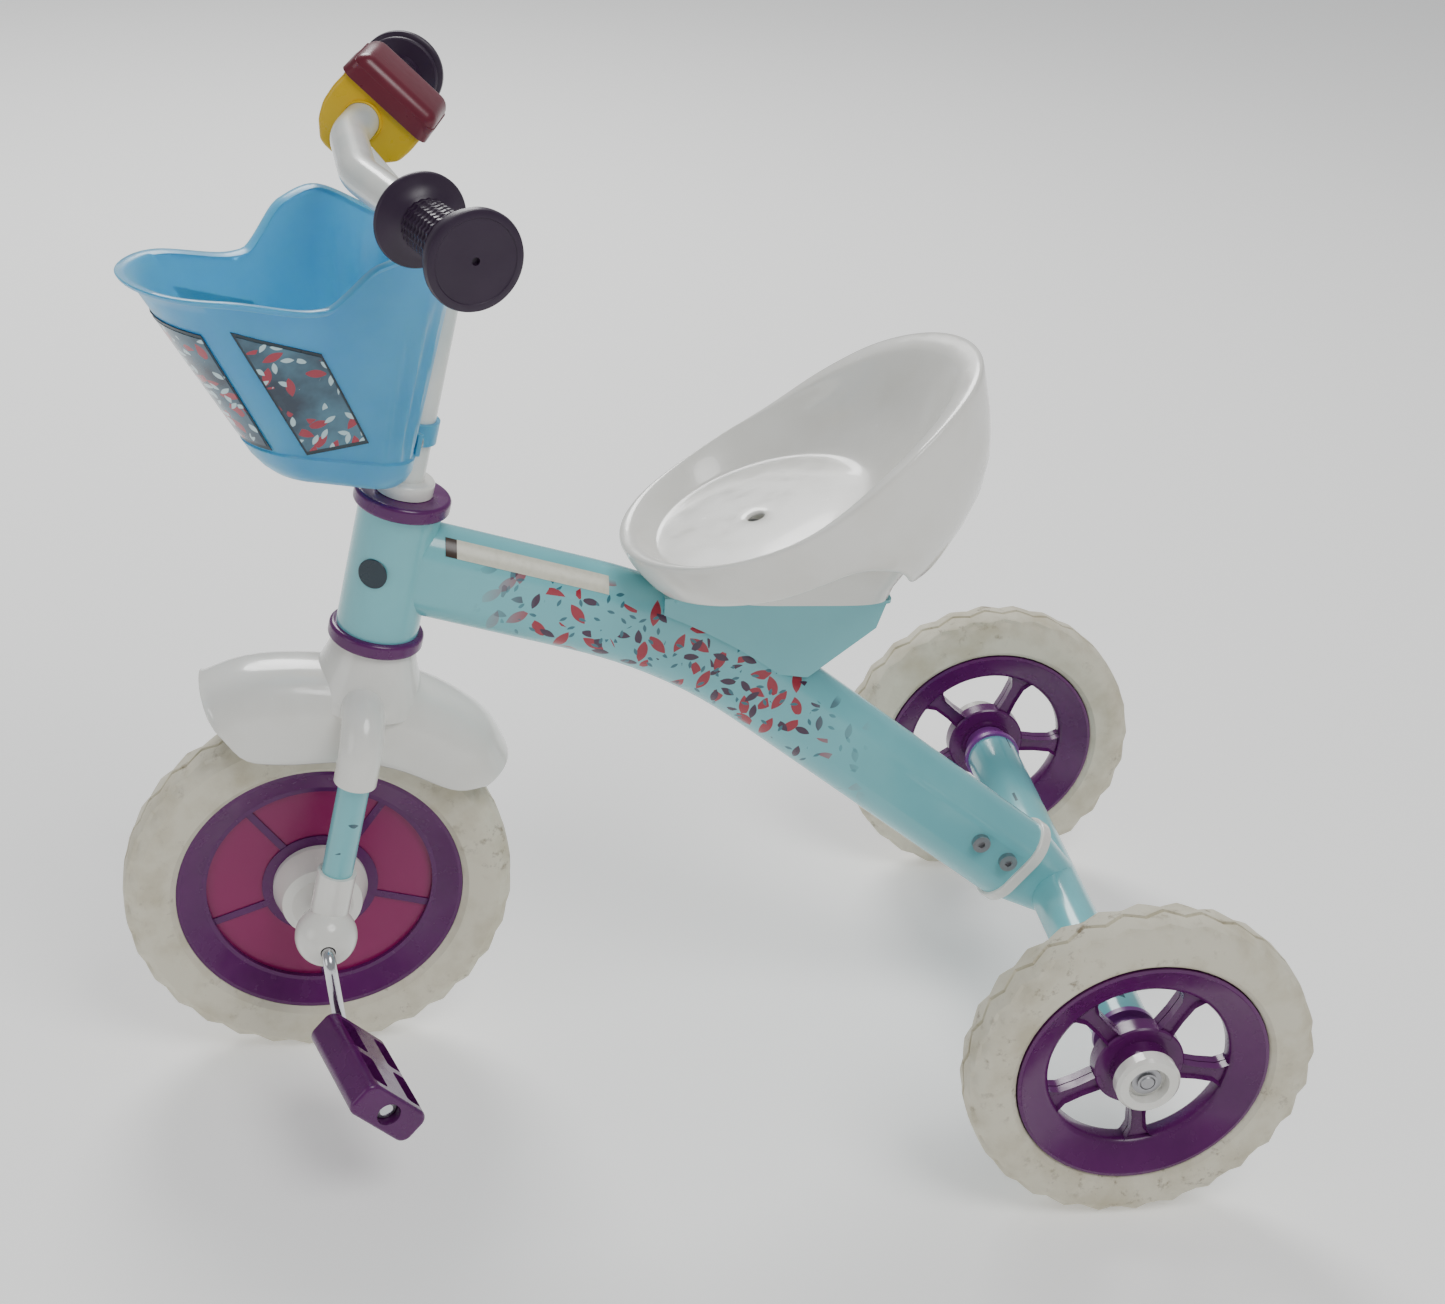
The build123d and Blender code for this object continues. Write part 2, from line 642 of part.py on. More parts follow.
def fork_bend(radius, foot, inset):
    """Solid of the one tube that makes both legs and the crown."""
    with BuildPart() as bend:
        with BuildLine(fork_plane()) as path:
            FilletPolyline((-LEG_Y, foot), (-LEG_Y, CROWN_HIGH), (LEG_Y, CROWN_HIGH), (LEG_Y, foot), radius=26)
        with BuildSketch(Plane(origin=path.line @ 0, z_dir=path.line % 0)):
            Circle(radius - inset)
        sweep(path=path.line)
    return bend.part


def make_fork():
    outer = fork_bend(LEG_R, -13, 0)
    inner = fork_bend(LEG_R, -13, 1.6)
    with BuildPart() as fork:
        add(outer)
        add(inner, mode=Mode.SUBTRACT)
        with BuildSketch(side_on(front_axle - steer.y_dir * 80, steer.y_dir, steer.x_dir)):
            Circle(7.0)
        extrude(amount=160, mode=Mode.SUBTRACT)
    finish(fork, "fork_legs")

    with BuildPart() as steerer:
        with BuildSketch(steer.offset(CROWN_HIGH)):
            Circle(STEERER_R)
            Circle(STEM_R, mode=Mode.SUBTRACT)
        extrude(amount=HEAD_HIGH + CUP_T + 5 - CROWN_HIGH)
        add(outer, mode=Mode.SUBTRACT)
    finish(steerer, "steerer_tube")

    for side, word in ((1, "left"), (-1, "right")):
        out = steer.y_dir * side
        with BuildPart() as bush:
            with BuildSketch(side_on(front_axle + out * 44.5, out, steer.x_dir)):
                Circle(7.0)
                Circle(CRANK_R + FIT_GAP, mode=Mode.SUBTRACT)
            extrude(amount=27)
        finish(bush, f"fork_bush_{word}")
        make_fork_cover(side, word, outer, bush.part)


def make_fork_cover(side, word, legs, bush):
    out = steer.y_dir * side
    ball = front_axle + out * 63
    section = Plane(origin=ball, x_dir=steer.x_dir, z_dir=steer.y_dir)
    with BuildPart() as cover:
        with BuildSketch(section):
            Circle(20)
            with BuildLine():
                Polyline((0, -21), (21, -21), (21, 21), (0, 21), close=True)
            make_face(mode=Mode.INTERSECT)
        revolve(axis=Axis(ball, steer.z_dir))
        with BuildSketch(Plane(origin=front_axle + out * LEG_Y, x_dir=steer.x_dir, z_dir=steer.z_dir)):
            Circle(12.3)
        extrude(amount=46)
        with BuildSketch(side_on(ball, out, steer.x_dir)):
            Circle(4.9)
        extrude(amount=30, mode=Mode.SUBTRACT)
        with BuildSketch(side_on(ball, out * -1, steer.x_dir)):
            Circle(7.0)
        extrude(amount=30, mode=Mode.SUBTRACT)
        add(legs, mode=Mode.SUBTRACT)
        add(bush, mode=Mode.SUBTRACT)
    finish(cover, f"fork_end_cover_{word}")


def guard_channel(inset):
    """Mudguard channel turned about the wheel axle, from its front tip to its rear tip."""
    half, crown = GUARD_HALF - inset, GUARD_CROWN - inset
    lean = radians(GUARD_FRONT - HEAD_TILT)
    outwards = steer.x_dir * cos(lean) + steer.z_dir * sin(lean)
    start = Plane(origin=front_axle, x_dir=steer.y_dir, z_dir=steer.y_dir.cross(outwards))
    with BuildPart() as channel:
        with BuildSketch(start):
            with BuildLine():
                left_wall = Line((half, GUARD_EDGE), (half, crown - 22))
                right_wall = Line((-half, crown - 22), (-half, GUARD_EDGE))
                ThreePointArc(left_wall @ 1, (0, crown), right_wall @ 0)
                Line(right_wall @ 1, left_wall @ 0)
            make_face()
        revolve(axis=Axis(front_axle, steer.y_dir * -1), revolution_arc=GUARD_BACK - GUARD_FRONT)
    return channel.part


def make_mudguard():
    outer = guard_channel(0)
    inner = guard_channel(GUARD_WALL)
    sleeve = fork_bend(13.4, 112, 0)
    legs = fork_bend(LEG_R, 60, 0)
    cone_low, cone_high = 140.0, HEAD_LOW - CUP_T - FACE_GAP
    with BuildPart() as mudguard:
        for inset, mode in ((0.0, Mode.ADD), (GUARD_WALL, Mode.SUBTRACT)):
            with BuildSketch(steer.offset(cone_low)):
                Circle(36 - inset)
            with BuildSketch(steer.offset(cone_high - inset)):
                Circle(26 - inset)
            loft(mode=mode)
        add(sleeve)
        add(outer)
        add(inner, mode=Mode.SUBTRACT)
        add(legs, mode=Mode.SUBTRACT)
        with BuildSketch(steer.offset(cone_low)):
            Circle(STEERER_R)
        extrude(amount=80, mode=Mode.SUBTRACT)
    finish(mudguard, "mudguard")


# Handlebar ---------------------------------------------------------------------------------------

bar_centre = steer.from_local_coords((BAR_X, 0, BAR_S))
bar_plane = Plane(origin=bar_centre, x_dir=(steer.x_dir.X, steer.x_dir.Y, 0), z_dir=(0, 0, 1))


def bar_bend(side):
    return Vector(0, side * BAR_STRAIGHT, 0)


def bar_point(side, along):
    """Point on the bar's swept-back end, measured outwards from the bend."""
    sweep = radians(BAR_SWEEP)
    local = bar_bend(side) + Vector(-sin(sweep) * along, side * cos(sweep) * along, 0)
    return bar_plane.from_local_coords(local)


def bar_direction(side):
    return (bar_point(side, 2) - bar_point(side, 1)).normalized()


def bar_solid(inset):
    reach = GRIP_START + GRIP_LONG - 5
    with BuildPart() as bar:
        with BuildLine() as path:
            FilletPolyline(
                bar_point(-1, reach), bar_point(-1, 0), bar_point(1, 0), bar_point(1, reach),
                radius=BAR_BEND_R,
            )
        with BuildSketch(Plane(origin=path.line @ 0, z_dir=path.line % 0)):
            Circle(STEM_R - inset)
        sweep(path=path.line)
    return bar.part


def stem_solid(radius):
    with BuildPart() as stem:
        with BuildLine(Plane(origin=steer.origin, x_dir=steer.x_dir, z_dir=steer.y_dir * -1)) as path:
            FilletPolyline((0, 205), (0, 436), (BAR_X - 3, BAR_S - 2.5), radius=36)
        with BuildSketch(Plane(origin=path.line @ 0, z_dir=path.line % 0)):
            Circle(radius)
        sweep(path=path.line)
    return stem.part


def make_handlebar():
    solid_bar = bar_solid(0)
    hollow_bar = bar_solid(1.6)
    with BuildPart() as bar:
        add(solid_bar)
        add(hollow_bar, mode=Mode.SUBTRACT)
    finish(bar, "handlebar")

    solid_stem = stem_solid(STEM_R)
    stem_bore = stem_solid(STEM_R - 1.6)
    with BuildPart() as stem:
        add(solid_stem)
        add(stem_bore, mode=Mode.SUBTRACT)
        add(solid_bar, mode=Mode.SUBTRACT)
    finish(stem, "handlebar_stem")

    with BuildPart() as collar:
        low = HEAD_HIGH + CUP_T + FACE_GAP
        with BuildSketch(steer.offset(low)):
            Circle(18)
        extrude(amount=9)
        fillet(collar.edges().filter_by(GeomType.CIRCLE).sort_by(Axis.Z)[-1], 2)
        with BuildSketch(steer.offset(low)):
            Circle(STEERER_R)
        extrude(amount=5 - FACE_GAP, mode=Mode.SUBTRACT)
        with BuildSketch(steer.offset(low)):
            Circle(STEM_R)
        extrude(amount=20, mode=Mode.SUBTRACT)
    finish(collar, "stem_locknut")


def make_grip(side, word):
    """Hand grip: inner flange, barrel, and a double disc that closes the outer end."""
    root = bar_point(side, GRIP_START)
    axis = bar_direction(side)
    long, bore = GRIP_LONG, STEM_R
    with BuildPart() as grip:
        with BuildSketch(Plane(origin=root, x_dir=axis, z_dir=bar_plane.z_dir)):
            with BuildLine():
                Polyline(
                    (0, 0), (0, GRIP_FLANGE_R - 2), (2, GRIP_FLANGE_R), (4, GRIP_FLANGE_R),
                    (7, GRIP_FLANGE_R - 6), (9, GRIP_R), (long - 13, GRIP_R), (long - 12, GRIP_FLANGE_R - 2),
                    (long - 8, GRIP_FLANGE_R - 2), (long - 7, GRIP_FLANGE_R - 5),
                    (long - 6, GRIP_FLANGE_R + 1), (long - 1, GRIP_FLANGE_R + 1),
                    (long, GRIP_FLANGE_R - 2), (long, 0), close=True,
                )
            make_face()
        revolve(axis=Axis(root, axis))
        with BuildSketch(Plane(origin=root, z_dir=axis)):
            Circle(bore)
        extrude(amount=long - 5, mode=Mode.SUBTRACT)
        with BuildSketch(Plane(origin=root, z_dir=axis)):
            Circle(1.6)
        extrude(amount=long, mode=Mode.SUBTRACT)
    finish(grip, f"grip_{word}")


def make_bell():
    """Squeeze bell clamped round the right-hand bar: two body halves and a press cover."""
    axis = bar_direction(-1)
    middle = bar_point(-1, BELL_ALONG)
    outward = (bar_plane.z_dir * sin(radians(BELL_LEAN)) - bar_plane.x_dir * cos(radians(BELL_LEAN)))
    outward = (outward - axis * outward.dot(axis)).normalized()
    side_plane = Plane(origin=middle - axis * (BELL_WIDE / 2), x_dir=outward, z_dir=axis)
    flip = 1 if bar_plane.z_dir.dot(side_plane.y_dir) > 0 else -1

    with BuildPart() as body:
        with BuildSketch(side_plane):
            with BuildLine():
                Polyline((0.5, -33 * flip), (22, -33 * flip), (22, 25 * flip), (0.5, 25 * flip), close=True)
            make_face()
        extrude(amount=BELL_WIDE)
        fillet(body.edges().filter_by(Axis(middle, outward)), 5)
        with BuildSketch(side_plane):
            Circle(STEM_R)
        extrude(amount=BELL_WIDE, mode=Mode.SUBTRACT)
    finish(body, "bell_body")

    with BuildPart() as clamp:
        with BuildSketch(side_plane):
            with BuildLine():
                Polyline(
                    (-0.5, -33 * flip), (-0.5, 25 * flip), (-18, 19 * flip), (-28, 10 * flip),
                    (-28, -10 * flip), (-14, -24 * flip), close=True,
                )
            make_face()
        extrude(amount=BELL_WIDE)
        with BuildSketch(side_plane):
            Circle(STEM_R)
        extrude(amount=BELL_WIDE, mode=Mode.SUBTRACT)
    finish(clamp, "bell_clamp")

    cover_base = side_plane.offset(-1.6)
    with BuildPart() as cover:
        with BuildSketch(cover_base):
            with BuildLine():
                Polyline((15, -36 * flip), (33, -36 * flip), (33, 28 * flip), (15, 28 * flip), close=True)
            make_face()
        extrude(amount=BELL_WIDE + 3.2)
        fillet(cover.edges().filter_by(Axis(middle, outward)), 7)
        fillet(cover.faces().sort_by(Axis(middle, outward))[-1].edges(), 5)
        with BuildSketch(side_plane.offset(-0.5)):
            with BuildLine():
                Polyline((0, -33.5 * flip), (28, -33.5 * flip), (28, 25.5 * flip), (0, 25.5 * flip), close=True)
            make_face()
        extrude(amount=BELL_WIDE + 1, mode=Mode.SUBTRACT)
    finish(cover, "bell_cover")
    return outward * -1


# Basket ------------------------------------------------------------------------------------------

def basket_form(inset):
    """Body on rounded triangles: a round nose in front and two round corners against the stem."""
    sections = ((BASKET_LOW + inset, 92, 26, 24, 14), (BASKET_HIGH, 226, 58, 38, 34))
    with BuildPart() as form:
        for height, nose, nose_r, lobe_r, lobe_y in sections:
            with BuildSketch(tray.offset(height)):
                with BuildLine():
                    CenterArc((nose - nose_r, 0), nose_r - inset, 0, 360)
                    for y in (-lobe_y, lobe_y):
                        CenterArc((BASKET_BACK + lobe_r, y), lobe_r - inset, 0, 360)
                make_hull()
        loft()
    return form.part


def basket_rim_cut():
    with BuildPart() as cut:
        with BuildSketch(Plane(origin=tray.origin, x_dir=tray.x_dir, z_dir=tray.y_dir * -1)):
            with BuildLine():
                rim = Spline(
                    (240, 417), (188, 418), (150, 421), (108, 419.5), (93, 428), (80, 447), (56, 457),
                    (-20, 448),
                )
                Polyline(rim @ 1, (-20, 520), (240, 520), rim @ 0)
            make_face()
        extrude(amount=120, both=True)
    return cut.part


def make_basket():
    outer = basket_form(0)
    inner = basket_form(BASKET_WALL)
    rim_cut = basket_rim_cut()
    stem_way = stem_solid(STEM_R + 0.6)
    holes = basket_screw_bodies(2.5)
    with BuildPart() as shell:
        add(outer)
        add(inner, mode=Mode.SUBTRACT)
        add(rim_cut, mode=Mode.SUBTRACT)
        add(stem_way, mode=Mode.SUBTRACT)
        add(holes, mode=Mode.SUBTRACT)
    finish(shell, "basket")

    with BuildPart() as clamp:
        with BuildSketch(basket.offset(CLAMP_LOW)):
            Circle(STEM_R + 2.6)
            with Locations((BASKET_BACK - 1.5, 0)):
                Rectangle(3, 52)
            with Locations((BASKET_BACK + 10, 0)):
                Rectangle(20, 60, mode=Mode.SUBTRACT)
            Circle(STEM_R, mode=Mode.SUBTRACT)
        extrude(amount=CLAMP_TALL)
        add(holes, mode=Mode.SUBTRACT)
    finish(clamp, "basket_clamp")

    with BuildPart() as screws:
        add(holes)
        for y in (-CLAMP_SCREW_Y, CLAMP_SCREW_Y):
            spot = basket.from_local_coords((BASKET_BACK - 3, y, CLAMP_LOW + CLAMP_TALL / 2))
            with BuildSketch(Plane(origin=spot, z_dir=basket.x_dir * -1)):
                Circle(4.0)
            extrude(amount=2.2)
    finish(screws, "basket_screws")


def basket_screw_bodies(radius):
    with BuildPart() as bodies:
        for y in (-CLAMP_SCREW_Y, CLAMP_SCREW_Y):
            spot = basket.from_local_coords((BASKET_BACK - 3, y, CLAMP_LOW + CLAMP_TALL / 2))
            with BuildSketch(Plane(origin=spot, z_dir=basket.x_dir)):
                Circle(radius)
            extrude(amount=9)
    return bodies.part


def main():
    os.makedirs("parts", exist_ok=True)
    make_head()
    make_backbone()
    make_rear_joint()
    make_rear_axle()
    make_seat_bracket()
    make_seat()
    make_rear_wheel(1, "left", -10)
    make_rear_wheel(-1, "right", 4)
    make_front_wheel()
    make_crank()
    for side, word in ((1, "left"), (-1, "right")):
        make_pedal(side, word)
        make_grip(side, word)
    make_fork()
    make_mudguard()
    make_handlebar()
    make_basket()
    return make_bell()


bell_press_dir = main()
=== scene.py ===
import json
from math import atan2, copysign, cos, hypot, pi, radians, sin, tau

import bmesh
import bpy
from bpy.props import FloatProperty, FloatVectorProperty, PointerProperty
from mathutils import Matrix, Vector


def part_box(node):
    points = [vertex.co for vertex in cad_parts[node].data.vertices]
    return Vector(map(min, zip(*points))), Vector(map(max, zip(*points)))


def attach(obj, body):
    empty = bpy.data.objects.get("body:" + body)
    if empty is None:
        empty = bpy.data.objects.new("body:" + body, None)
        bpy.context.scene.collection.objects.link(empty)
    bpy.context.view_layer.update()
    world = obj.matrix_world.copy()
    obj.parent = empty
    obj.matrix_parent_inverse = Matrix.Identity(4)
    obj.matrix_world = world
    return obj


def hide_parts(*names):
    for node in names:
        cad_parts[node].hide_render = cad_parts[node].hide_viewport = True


bl_info = {
    "name": "Children's Tricycle",
    "version": (1, 0, 0),
    "blender": (4, 5, 0),
    "location": "View3D > Sidebar > Tricycle",
    "description": "Finishes and moulded parts for a jointed children's tricycle",
    "category": "Object",
}

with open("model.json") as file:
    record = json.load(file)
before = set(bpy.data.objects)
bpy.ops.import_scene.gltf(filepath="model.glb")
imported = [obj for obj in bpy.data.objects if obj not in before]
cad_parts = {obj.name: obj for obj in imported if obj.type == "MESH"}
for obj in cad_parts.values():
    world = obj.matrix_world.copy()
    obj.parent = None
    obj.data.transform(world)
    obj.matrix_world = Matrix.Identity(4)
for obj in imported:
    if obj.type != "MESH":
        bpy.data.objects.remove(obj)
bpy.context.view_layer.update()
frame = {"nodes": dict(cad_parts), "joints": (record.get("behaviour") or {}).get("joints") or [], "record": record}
NODES = frame["nodes"]
JOINTS = {joint["name"]: joint for joint in frame["joints"]}

MM = 0.001
X_AXIS, Y_AXIS, Z_AXIS = Vector((1, 0, 0)), Vector((0, 1, 0)), Vector((0, 0, 1))


# Places ------------------------------------------------------------------------------------------

def place(origin, x_dir, z_dir):
    """Matrix from a local frame in millimetres to the tricycle's frame in metres."""
    z_axis = Vector(z_dir).normalized()
    x_axis = Vector(x_dir)
    x_axis = (x_axis - z_axis * x_axis.dot(z_axis)).normalized()
    matrix = Matrix((x_axis, z_axis.cross(x_axis), z_axis)).transposed().to_4x4()
    matrix.translation = Vector(origin)
    return matrix @ Matrix.Scale(MM, 4)


FORK_OFFSET = 4.7
head_axis = Vector(JOINTS["steering_turn"]["axis"])
front_axle = Vector(JOINTS["front_wheel_spin"]["pos_m"])
lateral = Vector(JOINTS["front_wheel_spin"]["axis"])
ahead = lateral.cross(head_axis).normalized()
STEER = place(front_axle - ahead * FORK_OFFSET * MM, ahead, head_axis)
FRONT_WHEEL = place(front_axle, ahead, lateral)
REAR_LEFT = place(JOINTS["rear_wheel_left_spin"]["pos_m"], X_AXIS, Y_AXIS)
REAR_RIGHT = place(JOINTS["rear_wheel_right_spin"]["pos_m"], -X_AXIS, -Y_AXIS)

SEAT_TILT = radians(20)
seat_low, seat_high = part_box("seat_bolt")
SEAT_HOLE = Vector(((seat_low.x + seat_high.x) / 2, 0, 0.394))
SEAT = place(SEAT_HOLE, (cos(SEAT_TILT), 0, -sin(SEAT_TILT)), (sin(SEAT_TILT), 0, cos(SEAT_TILT)))

BASKET_TWIST, BASKET_ROLL, BASKET_PIVOT = radians(20), radians(5), 330.0
basket_ahead = Matrix.Rotation(BASKET_TWIST, 3, head_axis) @ ahead
basket_up = Matrix.Rotation(BASKET_ROLL, 3, basket_ahead) @ head_axis
pivot = STEER @ Vector((0, 0, BASKET_PIVOT))
BASKET = place(pivot - basket_up * BASKET_PIVOT * MM, basket_ahead, basket_up)


def blend_table(table, at):
    """Smooth curve without overshoot through the rows (place, value) of a short table."""
    at = min(max(at, table[0][0]), table[-1][0])
    rises = [(y1 - y0) / (x1 - x0) for (x0, y0), (x1, y1) in zip(table, table[1:])]
    slopes = [0.0]
    for before, after in zip(rises, rises[1:]):
        slopes.append(2 * before * after / (before + after) if before * after > 0 else 0.0)
    slopes.append(0.0)
    row = max(index for index in range(len(rises)) if table[index][0] <= at)
    (x0, y0), (x1, y1) = table[row], table[row + 1]
    part, span = (at - x0) / (x1 - x0), x1 - x0
    ease = part * part * (3 - 2 * part)
    lead, trail = part * (1 - part) ** 2, part * part * (part - 1)
    return y0 + (y1 - y0) * ease + span * (slopes[row] * lead + slopes[row + 1] * trail)


def blend_line(table, at):
    """Straight lines through the rows (place, value) of a short table."""
    if at <= table[0][0]:
        return table[0][1]
    for (x0, y0), (x1, y1) in zip(table, table[1:]):
        if at <= x1:
            return y0 + (y1 - y0) * (at - x0) / (x1 - x0)
    return table[-1][1]


# Meshes ------------------------------------------------------------------------------------------

SHARP_ANGLE = radians(38)


def finish_piece(mesh_data, name, matrix, material, body, replaced=(), levels=0,
                 sharp=SHARP_ANGLE):
    """Turns a bmesh in local millimetres into a finished, riding piece."""
    bmesh.ops.remove_doubles(mesh_data, verts=mesh_data.verts, dist=0.001)
    bmesh.ops.transform(mesh_data, matrix=matrix, verts=mesh_data.verts)
    bmesh.ops.recalc_face_normals(mesh_data, faces=mesh_data.faces)
    mesh = bpy.data.meshes.new(name)
    mesh_data.to_mesh(mesh)
    mesh_data.free()
    mesh.shade_smooth()
    if sharp:
        mesh.set_sharp_from_angle(angle=sharp)
    piece = bpy.data.objects.new(name, mesh)
    bpy.context.scene.collection.objects.link(piece)
    piece.data.materials.append(material)
    if levels:
        subdivision = piece.modifiers.new("Subdivision", "SUBSURF")
        subdivision.levels = subdivision.render_levels = levels
    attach(piece, body)
    if replaced:
        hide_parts(*replaced)
    return piece


def spun_profile(points, steps, mesh_data=None):
    """Closed profile of (along, radius) points spun about local Z."""
    mesh_data = mesh_data or bmesh.new()
    verts = [mesh_data.verts.new((radius, 0, along)) for along, radius in points]
    edges = [mesh_data.edges.new(pair) for pair in zip(verts, verts[1:] + verts[:1])]
    bmesh.ops.spin(
        mesh_data, geom=verts + edges, cent=(0, 0, 0), axis=(0, 0, 1), angle=tau, steps=steps,
        use_merge=True,
    )
    return mesh_data


def rings_to_shell(mesh_data, rings, closed=False):
    """Extrudes one loop of edges from ring to ring; the ends are filled unless the stack is a loop."""
    verts = [mesh_data.verts.new(point) for point in rings[0]]
    first = edges = [mesh_data.edges.new(pair) for pair in zip(verts, verts[1:] + verts[:1])]
    for ring in rings[1:] + (rings[:1] if closed else []):
        order = {vert: index for index, vert in enumerate(verts)}
        raised = bmesh.ops.extrude_edge_only(mesh_data, edges=edges)["geom"]
        fresh = [item for item in raised if isinstance(item, bmesh.types.BMVert)]
        verts = sorted(fresh, key=lambda vert: min(
            order[edge.other_vert(vert)] for edge in vert.link_edges if edge.other_vert(vert) in order))
        for vert, point in zip(verts, ring):
            vert.co = point
        edges = [mesh_data.edges.get(pair) for pair in zip(verts, verts[1:] + verts[:1])]
    if not closed:
        bmesh.ops.holes_fill(mesh_data, edges=first + edges, sides=0)
    return mesh_data


def bevel_edges(mesh_data, edges, width, segments=3):
    """Rounds the given edges."""
    bmesh.ops.bevel(
        mesh_data, geom=edges, offset=width, offset_type="OFFSET", affect="EDGES", segments=segments,
        profile=0.5, material=-1, clamp_overlap=True,
    )


def extruded_outline(points, low, high):
    """Flat outline of (x, y) points raised from z = low to z = high."""
    mesh_data = bmesh.new()
    face = mesh_data.faces.new([mesh_data.verts.new((x, y, low)) for x, y in points])
    raised = bmesh.ops.extrude_face_region(mesh_data, geom=[face])["geom"]
    verts = [item for item in raised if isinstance(item, bmesh.types.BMVert)]
    bmesh.ops.translate(mesh_data, vec=(0, 0, high - low), verts=verts)
    return mesh_data


# Materials ---------------------------------------------------------------------------------------

def linear(hex_colour):
    """sRGB hex such as 7CC7CC to linear RGBA."""
    channels = [int(hex_colour[i:i + 2], 16) / 255 for i in (0, 2, 4)]
    return tuple(c / 12.92 if c <= 0.04045 else ((c + 0.055) / 1.055) ** 2.4 for c in channels) + (1.0,)


def add_node(tree, kind, inputs=None, **settings):
    """Adds a node, sets its properties, and sets or links its inputs."""
    item = tree.nodes.new("ShaderNode" + kind)
    for key, value in settings.items():
        setattr(item, key, value)
    for key, value in (inputs or {}).items():
        if isinstance(value, bpy.types.NodeSocket):
            tree.links.new(value, item.inputs[key])
        else:
            item.inputs[key].default_value = value
    return item


def new_material(name, **shader_values):
    material = bpy.data.materials.new(name)
    material.use_nodes = True
    tree = material.node_tree
    shader = tree.nodes["Principled BSDF"]
    for key, value in shader_values.items():
        shader.inputs[key.replace("_", " ")].default_value = value
    return material, tree, shader, add_node(tree, "TexCoord").outputs["Object"]


def patches(tree, where, size_mm, low, high, detail=4.0, roughness=0.55, bottom=0.0, top=1.0):
    """Soft patches of a real size, from bottom to top where the noise field goes from low to high."""
    field = add_node(tree, "TexNoise", {
        "Vector": where, "Scale": 1000.0 / size_mm, "Detail": detail, "Roughness": roughness,
    })
    return add_node(tree, "MapRange", {
        "Value": field.outputs["Fac"], "From Min": low, "From Max": high, "To Min": bottom, "To Max": top,
    }).outputs["Result"]


def tinted(tree, mask, share, first, second):
    """First colour turning to the second by a share of the mask."""
    part = add_node(tree, "Math", {0: mask, 1: share}, operation="MULTIPLY")
    return add_node(
        tree, "Mix", {0: part.outputs[0], 6: first, 7: second}, data_type="RGBA",
    ).outputs[2]


def fine_grain(tree, shader, where, size_mm, depth_mm, strength, detail=4.0):
    """Skin texture of a real grain size and depth, as bump."""
    field = add_node(tree, "TexNoise", {
        "Vector": where, "Scale": 1000.0 / size_mm, "Detail": detail, "Roughness": 0.55,
    })
    item = add_node(tree, "Bump", {
        "Height": field.outputs["Fac"], "Strength": strength, "Distance": depth_mm * MM,
    })
    tree.links.new(item.outputs["Normal"], shader.inputs["Normal"])


def moulded_plastic(name, colour, worn, roughness=0.34, grain_mm=1.2, coat=0.0):
    """Injection-moulded plastic: even colour, faint handling marks, satin skin with soft highlights."""
    material, tree, shader, where = new_material(name, Roughness=roughness, IOR=1.5, Coat_Weight=coat)
    cloud = patches(tree, where, 45.0, 0.42, 0.72)
    tree.links.new(tinted(tree, cloud, 0.35, colour, linear(worn)), shader.inputs["Base Color"])
    rough = patches(tree, where, 14.0, 0.3, 0.75, bottom=roughness - 0.06, top=roughness + 0.12)
    tree.links.new(rough, shader.inputs["Roughness"])
    fine_grain(tree, shader, where, grain_mm, 0.05, 0.25)
    return material


def sprayed_enamel(name, colour, decals=None):
    """Gloss enamel sprayed on steel tube: faint orange peel under a clear, sharp highlight."""
    material, tree, shader, where = new_material(
        name, Roughness=0.24, IOR=1.5, Coat_Weight=0.5, Coat_Roughness=0.08,
    )
    tone = tinted(tree, patches(tree, where, 60.0, 0.4, 0.75), 0.3, colour, linear("5BA6AF"))
    if decals:
        tone = decals(tree, where, tone)
    tree.links.new(tone, shader.inputs["Base Color"])
    fine_grain(tree, shader, where, 2.2, 0.04, 0.2, detail=2.0)
    return material


def leaf_scatter(tree, where, cell_mm, leaf_mm, shift, rarity):
    """Mask of one scatter of pointed leaves, at most one to a cell, each turned its own way."""
    moved = add_node(tree, "VectorMath", {0: where, 1: (shift, shift * 0.7, shift * 1.3)}, operation="ADD")
    cells = add_node(tree, "TexVoronoi", {
        "Vector": moved.outputs[0], "Scale": 1000.0 / cell_mm, "Randomness": 0.85,
    })
    offset = add_node(
        tree, "VectorMath", {0: moved.outputs[0], 1: cells.outputs["Position"]}, operation="SUBTRACT",
    )
    chance = add_node(tree, "SeparateColor", {0: cells.outputs["Color"]})
    turn = add_node(tree, "Math", {0: chance.outputs[0], 1: tau}, operation="MULTIPLY")
    turned = add_node(
        tree, "VectorRotate", {"Vector": offset.outputs[0], "Angle": turn.outputs[0]}, rotation_type="Y_AXIS",
    )
    leaf = add_node(tree, "SeparateXYZ", {0: turned.outputs[0]})
    half, plump = leaf_mm * MM / 2, 0.42
    square = add_node(tree, "Math", {0: leaf.outputs[0], 1: leaf.outputs[0]}, operation="MULTIPLY")
    arch = add_node(
        tree, "Math", {0: square.outputs[0], 1: -plump / half, 2: plump * half}, operation="MULTIPLY_ADD",
    )
    wide = add_node(tree, "Math", {0: leaf.outputs[2]}, operation="ABSOLUTE")
    spare = add_node(tree, "Math", {0: arch.outputs[0], 1: wide.outputs[0]}, operation="SUBTRACT")
    mask = add_node(tree, "MapRange", {"Value": spare.outputs[0], "From Min": 0.0, "From Max": 0.3 * MM})
    kept = add_node(tree, "Math", {0: chance.outputs[1], 1: rarity}, operation="GREATER_THAN")
    return add_node(
        tree, "Math", {0: mask.outputs["Result"], 1: kept.outputs[0]}, operation="MULTIPLY",
    ).outputs[0]


